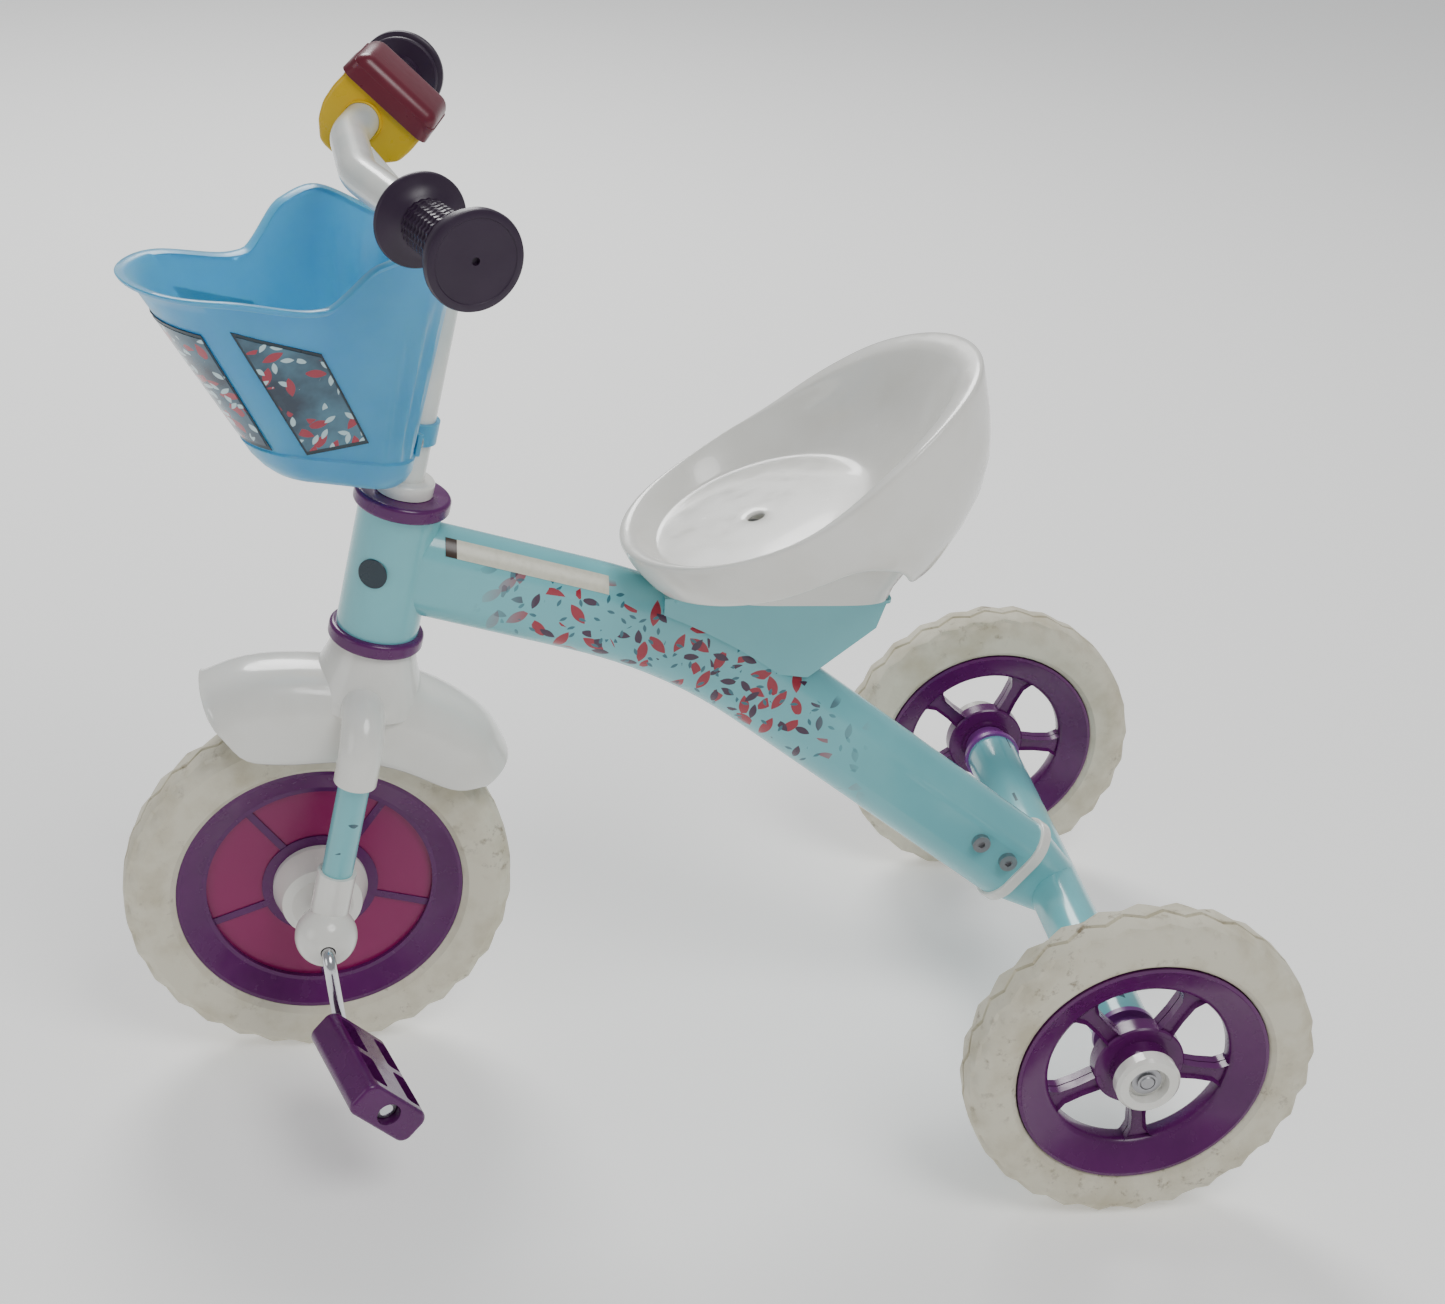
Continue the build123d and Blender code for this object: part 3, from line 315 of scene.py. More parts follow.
def tube_decals(tree, where, tone):
    """Printed film on the tube's sides: scattered red and dark leaves that thin out along the tube."""
    parts = add_node(tree, "SeparateXYZ", {0: where})
    across = add_node(tree, "Math", {0: parts.outputs[1]}, operation="ABSOLUTE")
    side = add_node(tree, "MapRange", {"Value": across.outputs[0], "From Min": 0.012, "From Max": 0.016})
    front = add_node(tree, "MapRange", {"Value": parts.outputs[0], "From Min": 0.150, "From Max": 0.110})
    rear = add_node(tree, "MapRange", {"Value": parts.outputs[0], "From Min": -0.115, "From Max": -0.07})
    ends = add_node(tree, "Math", {0: front.outputs[0], 1: rear.outputs[0]}, operation="MULTIPLY")
    area = add_node(tree, "Math", {0: side.outputs[0], 1: ends.outputs[0]}, operation="MULTIPLY")
    for cell_mm, leaf_mm, shift, colour, rarity in (
        (17.0, 17.0, 0.31, "9C1830", 0.45), (13.0, 12.0, 0.77, "3A1438", 0.6), (9.0, 6.0, 1.9, "2C6A78", 0.6),
    ):
        mask = leaf_scatter(tree, where, cell_mm, leaf_mm, shift, rarity)
        tone = tinted(tree, mask, area.outputs[0], tone, linear(colour))
    return tone


def tube_marks(tree, where, tone):
    """A few small dark leaves printed far apart on the thin tubes."""
    mask = leaf_scatter(tree, where, 16.0, 8.0, 0.53, 0.6)
    return tinted(tree, mask, 1.0, tone, linear("2F5A66"))


def foam_tyre(colour):
    """EVA foam tyre: matt cream skin with fine pores, brown soil worked in at scattered spots."""
    material, tree, shader, where = new_material("foam_tyre", Roughness=0.72, IOR=1.48)
    cloud = patches(tree, where, 28.0, 0.45, 0.7, detail=6.0)
    base = tinted(tree, cloud, 0.6, colour, linear("B3A98C"))
    spots = patches(tree, where, 9.0, 0.55, 0.68, detail=8.0, roughness=0.7)
    soiled = patches(tree, where, 60.0, 0.45, 0.62, detail=3.0, top=0.75)
    tree.links.new(tinted(tree, spots, soiled, base, linear("6E5B42")), shader.inputs["Base Color"])
    fine_grain(tree, shader, where, 1.6, 0.25, 0.35, detail=3.0)
    return material


def clear_blue(colour):
    """Milky translucent polypropylene: light shows through, and thin lips catch a pale sheen."""
    material, tree, shader, where = new_material(
        "polypropylene_blue", Roughness=0.3, IOR=1.49, Transmission_Weight=0.45,
        Subsurface_Weight=0.35, Subsurface_Scale=0.01, Subsurface_Radius=(0.2, 0.5, 1.0),
        Sheen_Weight=0.35, Sheen_Tint=linear("C8F0F6"),
    )
    cloud = patches(tree, where, 50.0, 0.35, 0.75)
    tree.links.new(tinted(tree, cloud, 1.0, colour, linear("46B6E8")), shader.inputs["Base Color"])
    fine_grain(tree, shader, where, 3.0, 0.05, 0.2)
    return material


def panel_magenta(colour):
    """Tinted clear polystyrene between the spokes: deep colour with a glossy, slightly rippled face."""
    material, tree, shader, where = new_material(
        "polystyrene_magenta", Roughness=0.28, IOR=1.55, Transmission_Weight=0.1, Base_Color=colour,
    )
    fine_grain(tree, shader, where, 5.0, 0.05, 0.2)
    return material


def plated(name, colour, roughness, grain_mm):
    """Plated steel: mirror-like chrome or duller zinc, with fine grain in the plating."""
    material, tree, shader, where = new_material(
        name, Metallic=1.0, Roughness=roughness, Base_Color=linear(colour),
    )
    rough = patches(tree, where, grain_mm, 0.3, 0.7, bottom=roughness, top=roughness + 0.14)
    tree.links.new(rough, shader.inputs["Roughness"])
    return material


def printed_card():
    """Glossy printed paper on the basket's windows: dark field with red and pale leaves."""
    material, tree, shader, where = new_material("printed_insert", Roughness=0.2, IOR=1.5, Coat_Weight=0.4)
    tone = tinted(tree, patches(tree, where, 35.0, 0.35, 0.7), 1.0, linear("223447"), linear("4E7F95"))
    for cell_mm, leaf_mm, shift, colour in ((12.0, 13.0, 0.4, "A22B40"), (9.0, 8.0, 1.2, "B8D6DC")):
        mask = leaf_scatter(tree, where, cell_mm, leaf_mm, shift, 0.45)
        tone = tinted(tree, mask, 1.0, tone, linear(colour))
    tree.links.new(tone, shader.inputs["Base Color"])
    return material


def label_film():
    """Pale vinyl film label: a blank cream field, faintly rubbed, with a dark strip at its front end."""
    material, tree, shader, where = new_material("label_film", Roughness=0.3, IOR=1.5)
    rubbed = patches(tree, where, 4.0, 0.45, 0.7)
    tone = tinted(tree, rubbed, 0.25, linear("DAD7C4"), linear("A9A48E"))
    parts = add_node(tree, "SeparateXYZ", {0: where})
    strip_from = LABEL_FROM - LABEL_STRIP
    strip = add_node(tree, "Math", {0: parts.outputs[0], 1: strip_from}, operation="GREATER_THAN")
    tree.links.new(tinted(tree, strip.outputs[0], 1.0, tone, linear("3A2A20")), shader.inputs["Base Color"])
    return material


FINISH = {}


def make_finishes():
    """Makes every material from the colours of the panel."""
    colours = bpy.context.scene.tricycle_colours
    FINISH["frame_paint"] = sprayed_enamel("enamel_teal", colours.enamel)
    FINISH["frame_decal"] = sprayed_enamel("enamel_teal_with_leaves", colours.enamel, tube_decals)
    FINISH["frame_marks"] = sprayed_enamel("enamel_teal_with_marks", colours.enamel, tube_marks)
    FINISH["stem_paint"] = sprayed_enamel("enamel_white", colours.stem)
    FINISH["white_plastic"] = moulded_plastic("abs_white", colours.white, "D6D3C8", 0.17, coat=0.4)
    FINISH["purple_plastic"] = moulded_plastic("polypropylene_plum", colours.plum, "3E0A42", 0.22)
    FINISH["lilac_plastic"] = moulded_plastic("nylon_lilac", colours.lilac, "5B2566", 0.3)
    FINISH["magenta_panel"] = panel_magenta(colours.magenta)
    FINISH["basket_plastic"] = clear_blue(colours.basket)
    FINISH["tyre_foam"] = foam_tyre(colours.tyre)
    FINISH["grip_rubber"] = moulded_plastic("pvc_aubergine", colours.grip, "1A0D1F", 0.4, 0.9)
    FINISH["bell_yellow"] = moulded_plastic("abs_yellow", colours.bell, "BE9400", 0.3)
    FINISH["bell_maroon"] = moulded_plastic("abs_maroon", colours.bell_cover, "4A1020", 0.3)
    FINISH["chrome"] = plated("chrome_plate", "D0D0D4", 0.1, 6.0)
    FINISH["steel"] = plated("zinc_plate", "A9A9AC", 0.3, 3.0)
    FINISH["print"] = printed_card()
    FINISH["label"] = label_film()
    FINISH["dark_film"] = moulded_plastic("vinyl_dark", linear("20303A"), "2E4A55", 0.3)


PRINTED_TUBES = {"backbone_tube": "frame_decal", "fork_legs": "frame_marks", "rear_axle_tube": "frame_marks"}


def dress_nodes():
    """Every carried-over CAD node takes the finish of its slot."""
    slots = {part["node"]: part["material_slot"] for part in frame["record"]["subparts"]}
    for name, node in NODES.items():
        finish = FINISH[PRINTED_TUBES.get(name, slots[name])]
        node.data.materials.clear()
        node.data.materials.append(finish)


# Wheels ------------------------------------------------------------------------------------------

STEPS_PER_PITCH = 8
MIDDLE_SWAY, EDGE_SWAY = 3.0, 2.4
TREAD_SHARP = radians(28)


def tyre(name, matrix, outer, seat, half, body):
    """Foam tyre with a raised tread band whose edges and middle groove run in a zigzag."""
    sizes = bpy.context.scene.tricycle_sizes
    pitches = round(tau * outer / (sizes.tread_pitch / MM))
    step, edge = sizes.tread_depth / MM, half * 0.62
    wall = [
        (half - 5, seat + 0.2), (half - 1.5, seat + 4), (half, (outer + seat) / 2),
        (half - 1, outer - 9), (half - 3.5, outer - 5.5), (edge + 1.2, outer - 3.6),
    ]
    band = [
        (edge + 0.2, outer - 1.6), (edge - 1.2, outer - 0.9), (3.0, outer), (1.6, outer), (1.0, outer - step),
    ]
    right = wall + band
    profile = right + [(-along, radius) for along, radius in reversed(right)]
    mesh_data = spun_profile(profile, pitches * STEPS_PER_PITCH)
    for vert in mesh_data.verts:
        radius = hypot(vert.co.x, vert.co.y)
        angle = atan2(vert.co.y, vert.co.x)
        phase = (angle / tau * pitches) % 1.0
        zigzag = 1 - 4 * abs(phase - 0.5)
        side = 1 if vert.co.z > 0 else -1
        if abs(vert.co.z) < 4 and radius > outer - step - 0.1:
            vert.co.z += MIDDLE_SWAY * zigzag
        elif abs(vert.co.z) > edge - 2 and radius > outer - 4:
            vert.co.z += side * EDGE_SWAY * zigzag
    return finish_piece(mesh_data, name, matrix, FINISH["tyre_foam"], body,
                        (name.replace("_skin", ""),), sharp=TREAD_SHARP)


def join_into(whole, part):
    """Adds one bmesh to another and frees it."""
    holder = bpy.data.meshes.new("holder")
    part.to_mesh(holder)
    part.free()
    whole.from_mesh(holder)
    bpy.data.meshes.remove(holder)


def rear_rim(name, matrix, body, phase):
    """Moulded five-spoke wheel: dished ring, flared spokes with raised edges, hub disc and barrel."""
    ring = [
        (-15, 80.6), (15, 80.6), (15.5, 78.5), (14.5, 77.5), (7.5, 62), (6, 59.5), (4, 58.5),
        (-4, 58.5), (-6, 59.5), (-7.5, 62), (-14.5, 77.5), (-15.5, 78.5),
    ]
    mesh_data = spun_profile(ring, 96)
    hub = [
        (-6, 8.2), (-6, 28), (-5, 29), (5, 29), (6, 28), (6, 19.5), (16.4, 18.6), (16.8, 18.2), (16.8, 8.2),
    ]
    spun_profile(hub, 64, mesh_data)
    barrel = [(-8.6, 8.2), (-8.6, 18.6), (-5.5, 19.2), (-5.5, 8.2)]
    spun_profile(barrel, 64, mesh_data)
    spokes = bmesh.new()
    outline = [(25, 5.5), (40, 4.6), (52, 5.2), (58, 8.5), (62, 15)]
    points = outline + [(x, -y) for x, y in reversed(outline)]
    for side in (1, -1):
        plate = extruded_outline(points, 0.4, 6.2)
        top = [face for face in plate.faces if face.calc_center_median().z > 6]
        bmesh.ops.inset_region(plate, faces=top, thickness=1.6, use_even_offset=True)
        floor = list({vert for face in top for vert in face.verts})
        bmesh.ops.translate(plate, vec=(0, 0, -3.0), verts=floor)
        if side < 0:
            bmesh.ops.rotate(plate, matrix=Matrix.Rotation(pi, 3, "X"), verts=plate.verts)
        join_into(spokes, plate)
    for index in range(5):
        turned = spokes.copy()
        turn = Matrix.Rotation(phase + tau * index / 5, 4, "Z")
        bmesh.ops.transform(turned, matrix=turn, verts=turned.verts)
        join_into(mesh_data, turned)
    spokes.free()
    return finish_piece(mesh_data, name + "_moulding", matrix, FINISH["purple_plastic"], body,
                        (name,))


def make_wheels():
    """Three tyres and both rear rims; the front rim is a CAD node."""
    tyre("front_tyre_skin", FRONT_WHEEL, 127.0, 93.5, 19.3, "front_wheel")
    tyre("rear_tyre_left_skin", REAR_LEFT, 111.5, 81.0, 18.4, "rear_wheel_left")
    tyre("rear_tyre_right_skin", REAR_RIGHT, 111.5, 81.0, 18.4, "rear_wheel_right")
    rear_rim("rear_rim_left", REAR_LEFT, "rear_wheel_left", radians(170))
    rear_rim("rear_rim_right", REAR_RIGHT, "rear_wheel_right", radians(4))


# Seat --------------------------------------------------------------------------------------------

OUTER_FORM = ((-50, 61.5, -108, 81.5), (-22, 74, -145, 92), (0, 84.5, -156, 98), (62, 94.5, -163, 105))
BOWL_FORM = ((-6, 40, -40, 50), (0, 66, -78, 74), (20, 82, -112, 94), (62, 88, -149, 101))
CREST = ((-190, 64), (-160, 62.5), (-115, 54), (-75, 41), (-20, 23.5), (50, 15.5), (110, 15))
SKIRT = ((-190, -46), (-100, -45), (-72, -24), (-45, -10), (12, -16), (110, -17))
SEAT_SEGMENTS = 72


def form_at(form, height):
    """Front reach, rear reach and half width of the seat's form at one height."""
    return [blend_line([(row[0], row[column]) for row in form], height) for column in (1, 2, 3)]


def seat_ring(form, height_at, shrink=0.0, scale=1.0):
    """Ring on a form, its height following a side profile."""
    points = []
    for index in range(SEAT_SEGMENTS):
        angle = tau * index / SEAT_SEGMENTS
        along = 0.0
        for _ in range(4):
            height = height_at(along)
            front, back, half = form_at(form, height)
            middle, reach = (front + back) / 2, (front - back) / 2
            along = middle + (reach - shrink) * cos(angle) * scale
        points.append((along, (half - shrink) * sin(angle) * scale, height))
    return points


def hole_ring(radius, height):
    """Circle round the bolt hole in step with the seat's rings."""
    return [(radius * cos(tau * index / SEAT_SEGMENTS), radius * sin(tau * index / SEAT_SEGMENTS), height)
            for index in range(SEAT_SEGMENTS)]


def crest_less(down):
    """Height of the rim less a drop, by place along the seat."""
    return lambda along: blend_table(CREST, along) - down


def skirt_plus(up=0.0, part=0.0):
    """Height of the skirt's edge, raised by a length and by a part of the way to the rim."""
    def height(along):
        low = blend_table(SKIRT, along)
        return low + up + (blend_table(CREST, along) - low) * part
    return height


def bowl_part(part):
    """Height inside the bowl, as a part of the way from its floor to its rim."""
    return lambda along: (blend_table(CREST, along) - 8) * part


def level_at(height):
    return lambda along: height


def make_seat():
    """Bucket seat as one closed skin: outside, rolled rim, bowl, bored floor and underside."""
    outside = [
        (skirt_plus(), 0.6), (skirt_plus(1.2), 0.0), (skirt_plus(part=0.3), 0.0), (skirt_plus(part=0.6), 0.0),
        (skirt_plus(part=0.8), 0.0), (crest_less(3.2), 0.0), (crest_less(0.9), 0.9), (crest_less(0.1), 2.6),
    ]
    bowl = [(crest_less(0.5), -0.6), (crest_less(2.6), 0.2)]
    bowl += [(bowl_part(part), 0.4) for part in (1.0, 0.75, 0.5, 0.3, 0.14, 0.04)]
    bore = ((13, 0.2), (6.4, 0.2), (5.6, -0.4), (5.6, -2.4), (6.4, -3.0), (13, -3.0))
    under_bowl = [(bowl_part(part), -3.0) for part in (0.0, 0.14, 0.3, 0.5, 0.75)]
    under_rim = [
        (crest_less(9.0), 3.4), (skirt_plus(part=0.3), 3.2), (skirt_plus(1.2), 3.0), (skirt_plus(), 2.4),
    ]
    rings = [seat_ring(OUTER_FORM, *row) for row in outside]
    rings += [seat_ring(BOWL_FORM, *row) for row in bowl]
    rings += [seat_ring(BOWL_FORM, level_at(0.2), 0.0, scale) for scale in (0.9, 0.7, 0.5)]
    rings += [hole_ring(radius, height) for radius, height in bore]
    rings += [seat_ring(BOWL_FORM, level_at(-3.0), 0.0, scale) for scale in (0.5, 0.7, 0.9)]
    rings += [seat_ring(BOWL_FORM, *row) for row in under_bowl]
    rings += [seat_ring(OUTER_FORM, *row) for row in under_rim]
    mesh_data = rings_to_shell(bmesh.new(), rings, closed=True)
    finish_piece(mesh_data, "seat_bucket", SEAT, FINISH["white_plastic"], "frame",
                 ("seat_shell",), levels=1, sharp=None)

    rings = [pedestal_ring(*row) for row in (
        (345.3, -34, 107, 59), (356, -35.5, 110, 66), (368, -40.5, 112, 76), (378, -46, 112, 84),
        (388, -58, 96, 88),
    )]
    pedestal = rings_to_shell(bmesh.new(), rings)
    finish_piece(pedestal, "seat_pedestal", Matrix.Scale(MM, 4), FINISH["white_plastic"], "frame")


PEDESTAL_SEGMENTS, CORNER_POWER = 48, 0.42


def pedestal_ring(height, middle, long, wide):
    """Rounded rectangle at one height, placed from the bolt hole."""
    ring = []
    for index in range(PEDESTAL_SEGMENTS):
        along, across = cos(tau * index / PEDESTAL_SEGMENTS), sin(tau * index / PEDESTAL_SEGMENTS)
        ring.append((
            SEAT_HOLE.x / MM + middle + copysign(long / 2 * abs(along) ** CORNER_POWER, along),
            copysign(wide / 2 * abs(across) ** CORNER_POWER, across), height,
        ))
    return ring


# Basket ------------------------------------------------------------------------------------------

BASKET_LOW, BASKET_HIGH, BASKET_BACK = 303.0, 462.0, 12.0
BASKET_RIM = ((14, 449), (50, 458), (74, 449), (98, 420.5), (112, 418.5), (150, 420.5), (190, 417))
BASKET_SEGMENTS, BASKET_STEP = 144, 5.0
FOOT_BAND = 324.0
LOBE_ANGLE, FLUTE_SPREAD = radians(118), radians(50)


def skin_point(height, angle):
    """Point of the basket's skin where its outward normal has this angle."""
    part = (height - BASKET_LOW) / (BASKET_HIGH - BASKET_LOW)
    nose, nose_r = 92 + (226 - 92) * part, 26 + (58 - 26) * part
    lobe_r, lobe_y = 24 + (38 - 24) * part, 14 + (34 - 14) * part
    lobe_x = BASKET_BACK + lobe_r
    discs = ((nose - nose_r, 0, nose_r), (lobe_x, lobe_y, lobe_r), (lobe_x, -lobe_y, lobe_r))
    across, along = sin(angle), cos(angle)
    x, y, radius = max(discs, key=lambda disc: disc[0] * along + disc[1] * across + disc[2])
    off = (abs(angle) - LOBE_ANGLE) / FLUTE_SPREAD
    if abs(off) < 1 and height > FOOT_BAND:
        fade = min(1.0, (height - FOOT_BAND) / 12, max(0.0, (BASKET_HIGH - 30 - height) / 30))
        radius -= 4.0 * fade * (1 - off * off) * (0.5 + 0.5 * cos(4 * pi * off))
    return Vector((x + radius * along, y + radius * across, height))


LOOP_SAMPLES = 720


def even_loop(height):
    """Evenly spaced points round the skin at one height, from the middle of the back."""
    back = Vector((BASKET_BACK, 0, height))
    turns = [-pi + tau * (index + 0.5) / LOOP_SAMPLES for index in range(LOOP_SAMPLES)]
    dense = [back] + [skin_point(height, turn) for turn in turns] + [back]
    marks = [0.0]
    for first, second in zip(dense, dense[1:]):
        marks.append(marks[-1] + (second - first).length)
    loop, at = [], 0
    for index in range(BASKET_SEGMENTS):
        want = marks[-1] * index / BASKET_SEGMENTS
        while marks[at + 1] < want:
            at += 1
        loop.append(dense[at].lerp(dense[at + 1], (want - marks[at]) / max(marks[at + 1] - marks[at], 1e-6)))
    return loop


BASKET_ROWS = int((BASKET_HIGH - BASKET_LOW) / BASKET_STEP) + 2
BASKET_LOOPS = [even_loop(BASKET_LOW + BASKET_STEP * row) for row in range(BASKET_ROWS)]


def basket_point(height, index, proud=0.0):
    """Point of the skin by its place round the loop; proud moves it outwards."""
    row = min(max((height - BASKET_LOW) / BASKET_STEP, 0.0), BASKET_ROWS - 1.001)
    low, high = BASKET_LOOPS[int(row)], BASKET_LOOPS[int(row) + 1]
    places = [(index + step) % BASKET_SEGMENTS for step in (-1, 0, 1)]
    spots = [low[spot].lerp(high[spot], row % 1) for spot in places]
    along = spots[2] - spots[0]
    outward = Vector((along.y, -along.x, 0)).normalized()
    return Vector((spots[1].x, spots[1].y, height)) + outward * proud


def rim_height(x, y):
    """Rim seen from the side, cut low where the stem passes behind."""
    height = blend_table(BASKET_RIM, x)
    behind = blend_table(((14, 1), (34, 0)), x) * blend_table(((8, 1), (34, 0)), abs(y))
    height -= (height - 424) * behind
    return height


def basket_ring(height_at, proud):
    """Ring on the skin, its height following a function of (x, y)."""
    points = []
    for index in range(BASKET_SEGMENTS):
        height = 430.0
        for _ in range(6):
            spot = basket_point(height, index)
            height = height_at(spot.x, spot.y)
        points.append(basket_point(height, index, proud))
    return points


def make_basket():
    """Thin-walled basket: foot band, fluted rear lobes, dipped rim with a turned-out lip."""
    wall = bpy.context.scene.tricycle_sizes.basket_wall / MM

    def level(part):
        return lambda x, y: FOOT_BAND + 0.6 + (rim_height(x, y) - 4.0 - FOOT_BAND) * part

    def flat(height):
        return lambda x, y: height

    def below_rim(down):
        return lambda x, y: rim_height(x, y) - down

    outer = [basket_ring(flat(BASKET_LOW + 1.0), -9.0), basket_ring(flat(BASKET_LOW + 2.2), -4.0)]
    outer += [basket_ring(flat(BASKET_LOW + 6.0), -0.8), basket_ring(flat(BASKET_LOW + 12.0), 1.3)]
    outer += [basket_ring(flat(FOOT_BAND - 1.2), 1.3), basket_ring(flat(FOOT_BAND), -0.3)]
    outer += [basket_ring(level(part / 14), -0.3) for part in range(1, 14)]
    lip = [basket_ring(below_rim(down), proud) for down, proud in (
        (4.2, 0.2), (3.6, 4.2), (2.6, 5.4), (0.8, 5.4), (0.0, 4.2), (0.0, 0.2), (0.9, -wall),
    )]
    inner = [basket_ring(level(part / 14), -0.3 - wall) for part in range(13, 0, -2)]
    inner += [basket_ring(flat(BASKET_LOW + 8.0), -2.0 - wall)]
    inner += [basket_ring(flat(BASKET_LOW + 4.6), -4.6 - wall), basket_ring(flat(BASKET_LOW + 3.8), -12.0)]
    mesh_data = rings_to_shell(bmesh.new(), outer + lip + inner)
    finish_piece(mesh_data, "basket_moulding", BASKET, FINISH["basket_plastic"], "steering",
                 ("basket",), sharp=radians(50))
    nose = ((153, 28, 395), (153, -28, 395), (97, -15, 327), (97, 15, 327))
    left = ((146, 52, 400), (96, 68, 391), (54, 42, 338), (84, 28, 327))
    window_card("basket_window_front", nose)
    window_card("basket_window_left", left)
    window_card("basket_window_right", [(x, -y, z) for x, y, z in left])


def on_skin(spot, proud):
    """Nearest point of the skin at the same height, moved outwards."""
    index = min(range(BASKET_SEGMENTS), key=lambda k: (basket_point(spot.z, k) - spot).length)
    before, here, after = (basket_point(spot.z, index + step) for step in (-1, 0, 1))
    along = (after - before).normalized()
    outward = Vector((along.y, -along.x, 0))
    return here + along * (spot - here).dot(along) + outward * proud


def window_card(name, corners):
    """Glossy printed card on a four-sided window of the skin, with a dark edge round it."""
    middle = sum((Vector(corner) for corner in corners), Vector()) / 4
    for word, grow, proud, finish in (("_edge", 1.04, 0.25, "dark_film"), ("", 0.97, 0.55, "print")):
        near = [middle + (Vector(corner) - middle) * grow for corner in corners]
        card = bmesh.new()
        bmesh.ops.create_grid(card, x_segments=10, y_segments=10, size=0.5)
        for vert in card.verts:
            over, up = vert.co.x + 0.5, vert.co.y + 0.5
            top, low = near[0].lerp(near[1], over), near[3].lerp(near[2], over)
            vert.co = on_skin(low.lerp(top, up), proud)
        bmesh.ops.recalc_face_normals(card, faces=card.faces)
        bmesh.ops.solidify(card, geom=card.faces[:], thickness=0.5)
        finish_piece(card, name + word, BASKET, FINISH[finish], "steering")


# Mudguard ----------------------------------------------------------------------------------------

GUARD_CROWN = ((65, 173), (74, 174), (90, 168), (116, 166), (133, 164), (142, 157))
GUARD_EDGE = ((65, 152), (67, 126), (73, 116), (85, 110), (112, 113), (128, 115), (137, 121), (142, 136))
GUARD_HALF, HEAD_TILT = 33.0, 10.0


def guard_section(angle):
    """Arch of one station of the mudguard, in the wheel's frame."""
    turn = radians(angle - HEAD_TILT)
    crown, edge = blend_table(GUARD_CROWN, angle), blend_table(GUARD_EDGE, angle)
    half = GUARD_HALF - 5.0 * max(0.0, (angle - 134) / 8) ** 2
    shoulder = max(crown - 30, edge + 1)
    arch = [(half, edge + (shoulder - edge) * part) for part in (0.0, 0.35, 0.7)]
    for step in range(9):
        lift = pi / 2 * step / 8
        arch.append((half * cos(lift) ** 0.8, shoulder + (crown - shoulder) * sin(lift)))
    arch += [(-across, radius) for across, radius in reversed(arch[:-1])]
    return [(radius * cos(turn), -radius * sin(turn), -across) for across, radius in arch]


def make_mudguard():
    """Channel over the tyre, a cone round the steerer and a bent sleeve over both fork legs."""
    mesh_data = bmesh.new()
    edges = []
    for angle in (65, 65.2, 65.9, 67, 70, 75, 82, 90, 98, 106, 114, 122, 129, 134, 138, 140.6, 142):
        section = guard_section(angle)
        if edges:
            raised = bmesh.ops.extrude_edge_only(mesh_data, edges=edges)["geom"]
            fresh = [item for item in raised if isinstance(item, bmesh.types.BMVert)]
            verts = sorted(fresh, key=lambda vert: min(
                order[edge.other_vert(vert)] for edge in vert.link_edges if edge.other_vert(vert) in order))
            for vert, point in zip(verts, section):
                vert.co = point
        else:
            verts = [mesh_data.verts.new(point) for point in section]
            for pair in zip(verts, verts[1:]):
                mesh_data.edges.new(pair)
        order = {vert: index for index, vert in enumerate(verts)}
        edges = [mesh_data.edges.get(pair) for pair in zip(verts, verts[1:])]
    bmesh.ops.recalc_face_normals(mesh_data, faces=mesh_data.faces)
    outward = sum(face.normal.dot(face.calc_center_median().normalized()) for face in mesh_data.faces)
    if outward < 0:
        bmesh.ops.reverse_faces(mesh_data, faces=mesh_data.faces)
    wall = bpy.context.scene.tricycle_sizes.guard_wall / MM
    bmesh.ops.solidify(mesh_data, geom=mesh_data.faces[:], thickness=wall)
    finish_piece(mesh_data, "mudguard_channel", FRONT_WHEEL, FINISH["white_plastic"],
                 "steering", levels=1, sharp=None)

    cone = spun_profile([
        (144, 36.5), (144.6, 38.6), (146, 39), (154, 36.6), (164, 32.6), (174, 29), (182, 26.8),
        (184.2, 26.2), (184.6, 25.4), (184.6, 14.2), (182, 14.2), (180, 23.5), (168, 27.5),
        (150, 34), (144, 35.4),
    ], 72)
    finish_piece(cone, "mudguard_cone", STEER, FINISH["white_plastic"], "steering")

    leg, crown, bend, foot, bend_steps = 57.0, 152.0, 26.0, 113.0, 12
    points = [(FORK_OFFSET, leg, foot)]
    for step in range(bend_steps + 1):
        turn = pi / 2 * step / bend_steps
        points.append((FORK_OFFSET, leg - bend + bend * cos(turn), crown - bend + bend * sin(turn)))
    points += [(x, -y, z) for x, y, z in reversed(points)]
    mesh_data = bmesh.new()
    tube_rings(mesh_data, points, 13.5, 40)
    finish_piece(mesh_data, "mudguard_sleeves", STEER, FINISH["white_plastic"], "steering",
                 ("mudguard",))


def tube_rings(mesh_data, points, radius, segments):
    """Closed tube whose rings stand square to a path in the plane across the tricycle."""
    path = [Vector(point) for point in points]
    rings = []
    for index, spot in enumerate(path):
        before, after = path[max(index - 1, 0)], path[min(index + 1, len(path) - 1)]
        along = (after - before).normalized()
        side = Vector((1, 0, 0))
        up = along.cross(side).normalized()
        rings.append([
            spot + side * (radius * cos(tau * k / segments)) + up * (radius * sin(tau * k / segments))
            for k in range(segments)
        ])
    rings_to_shell(mesh_data, rings)


# Handlebar pieces --------------------------------------------------------------------------------

GRIP_START, GRIP_LONG = 84.0, 74.0
BAR_X, BAR_S, BAR_STRAIGHT, BAR_SWEEP = 65.0, 490.0, 38.0, radians(17)
RIB_RADIUS, RIB_BUMPS = 14.6, 21
bar_centre = STEER @ Vector((BAR_X, 0, BAR_S))
bar_ahead = Vector((ahead.x, ahead.y, 0)).normalized()
bar_left = Z_AXIS.cross(bar_ahead)


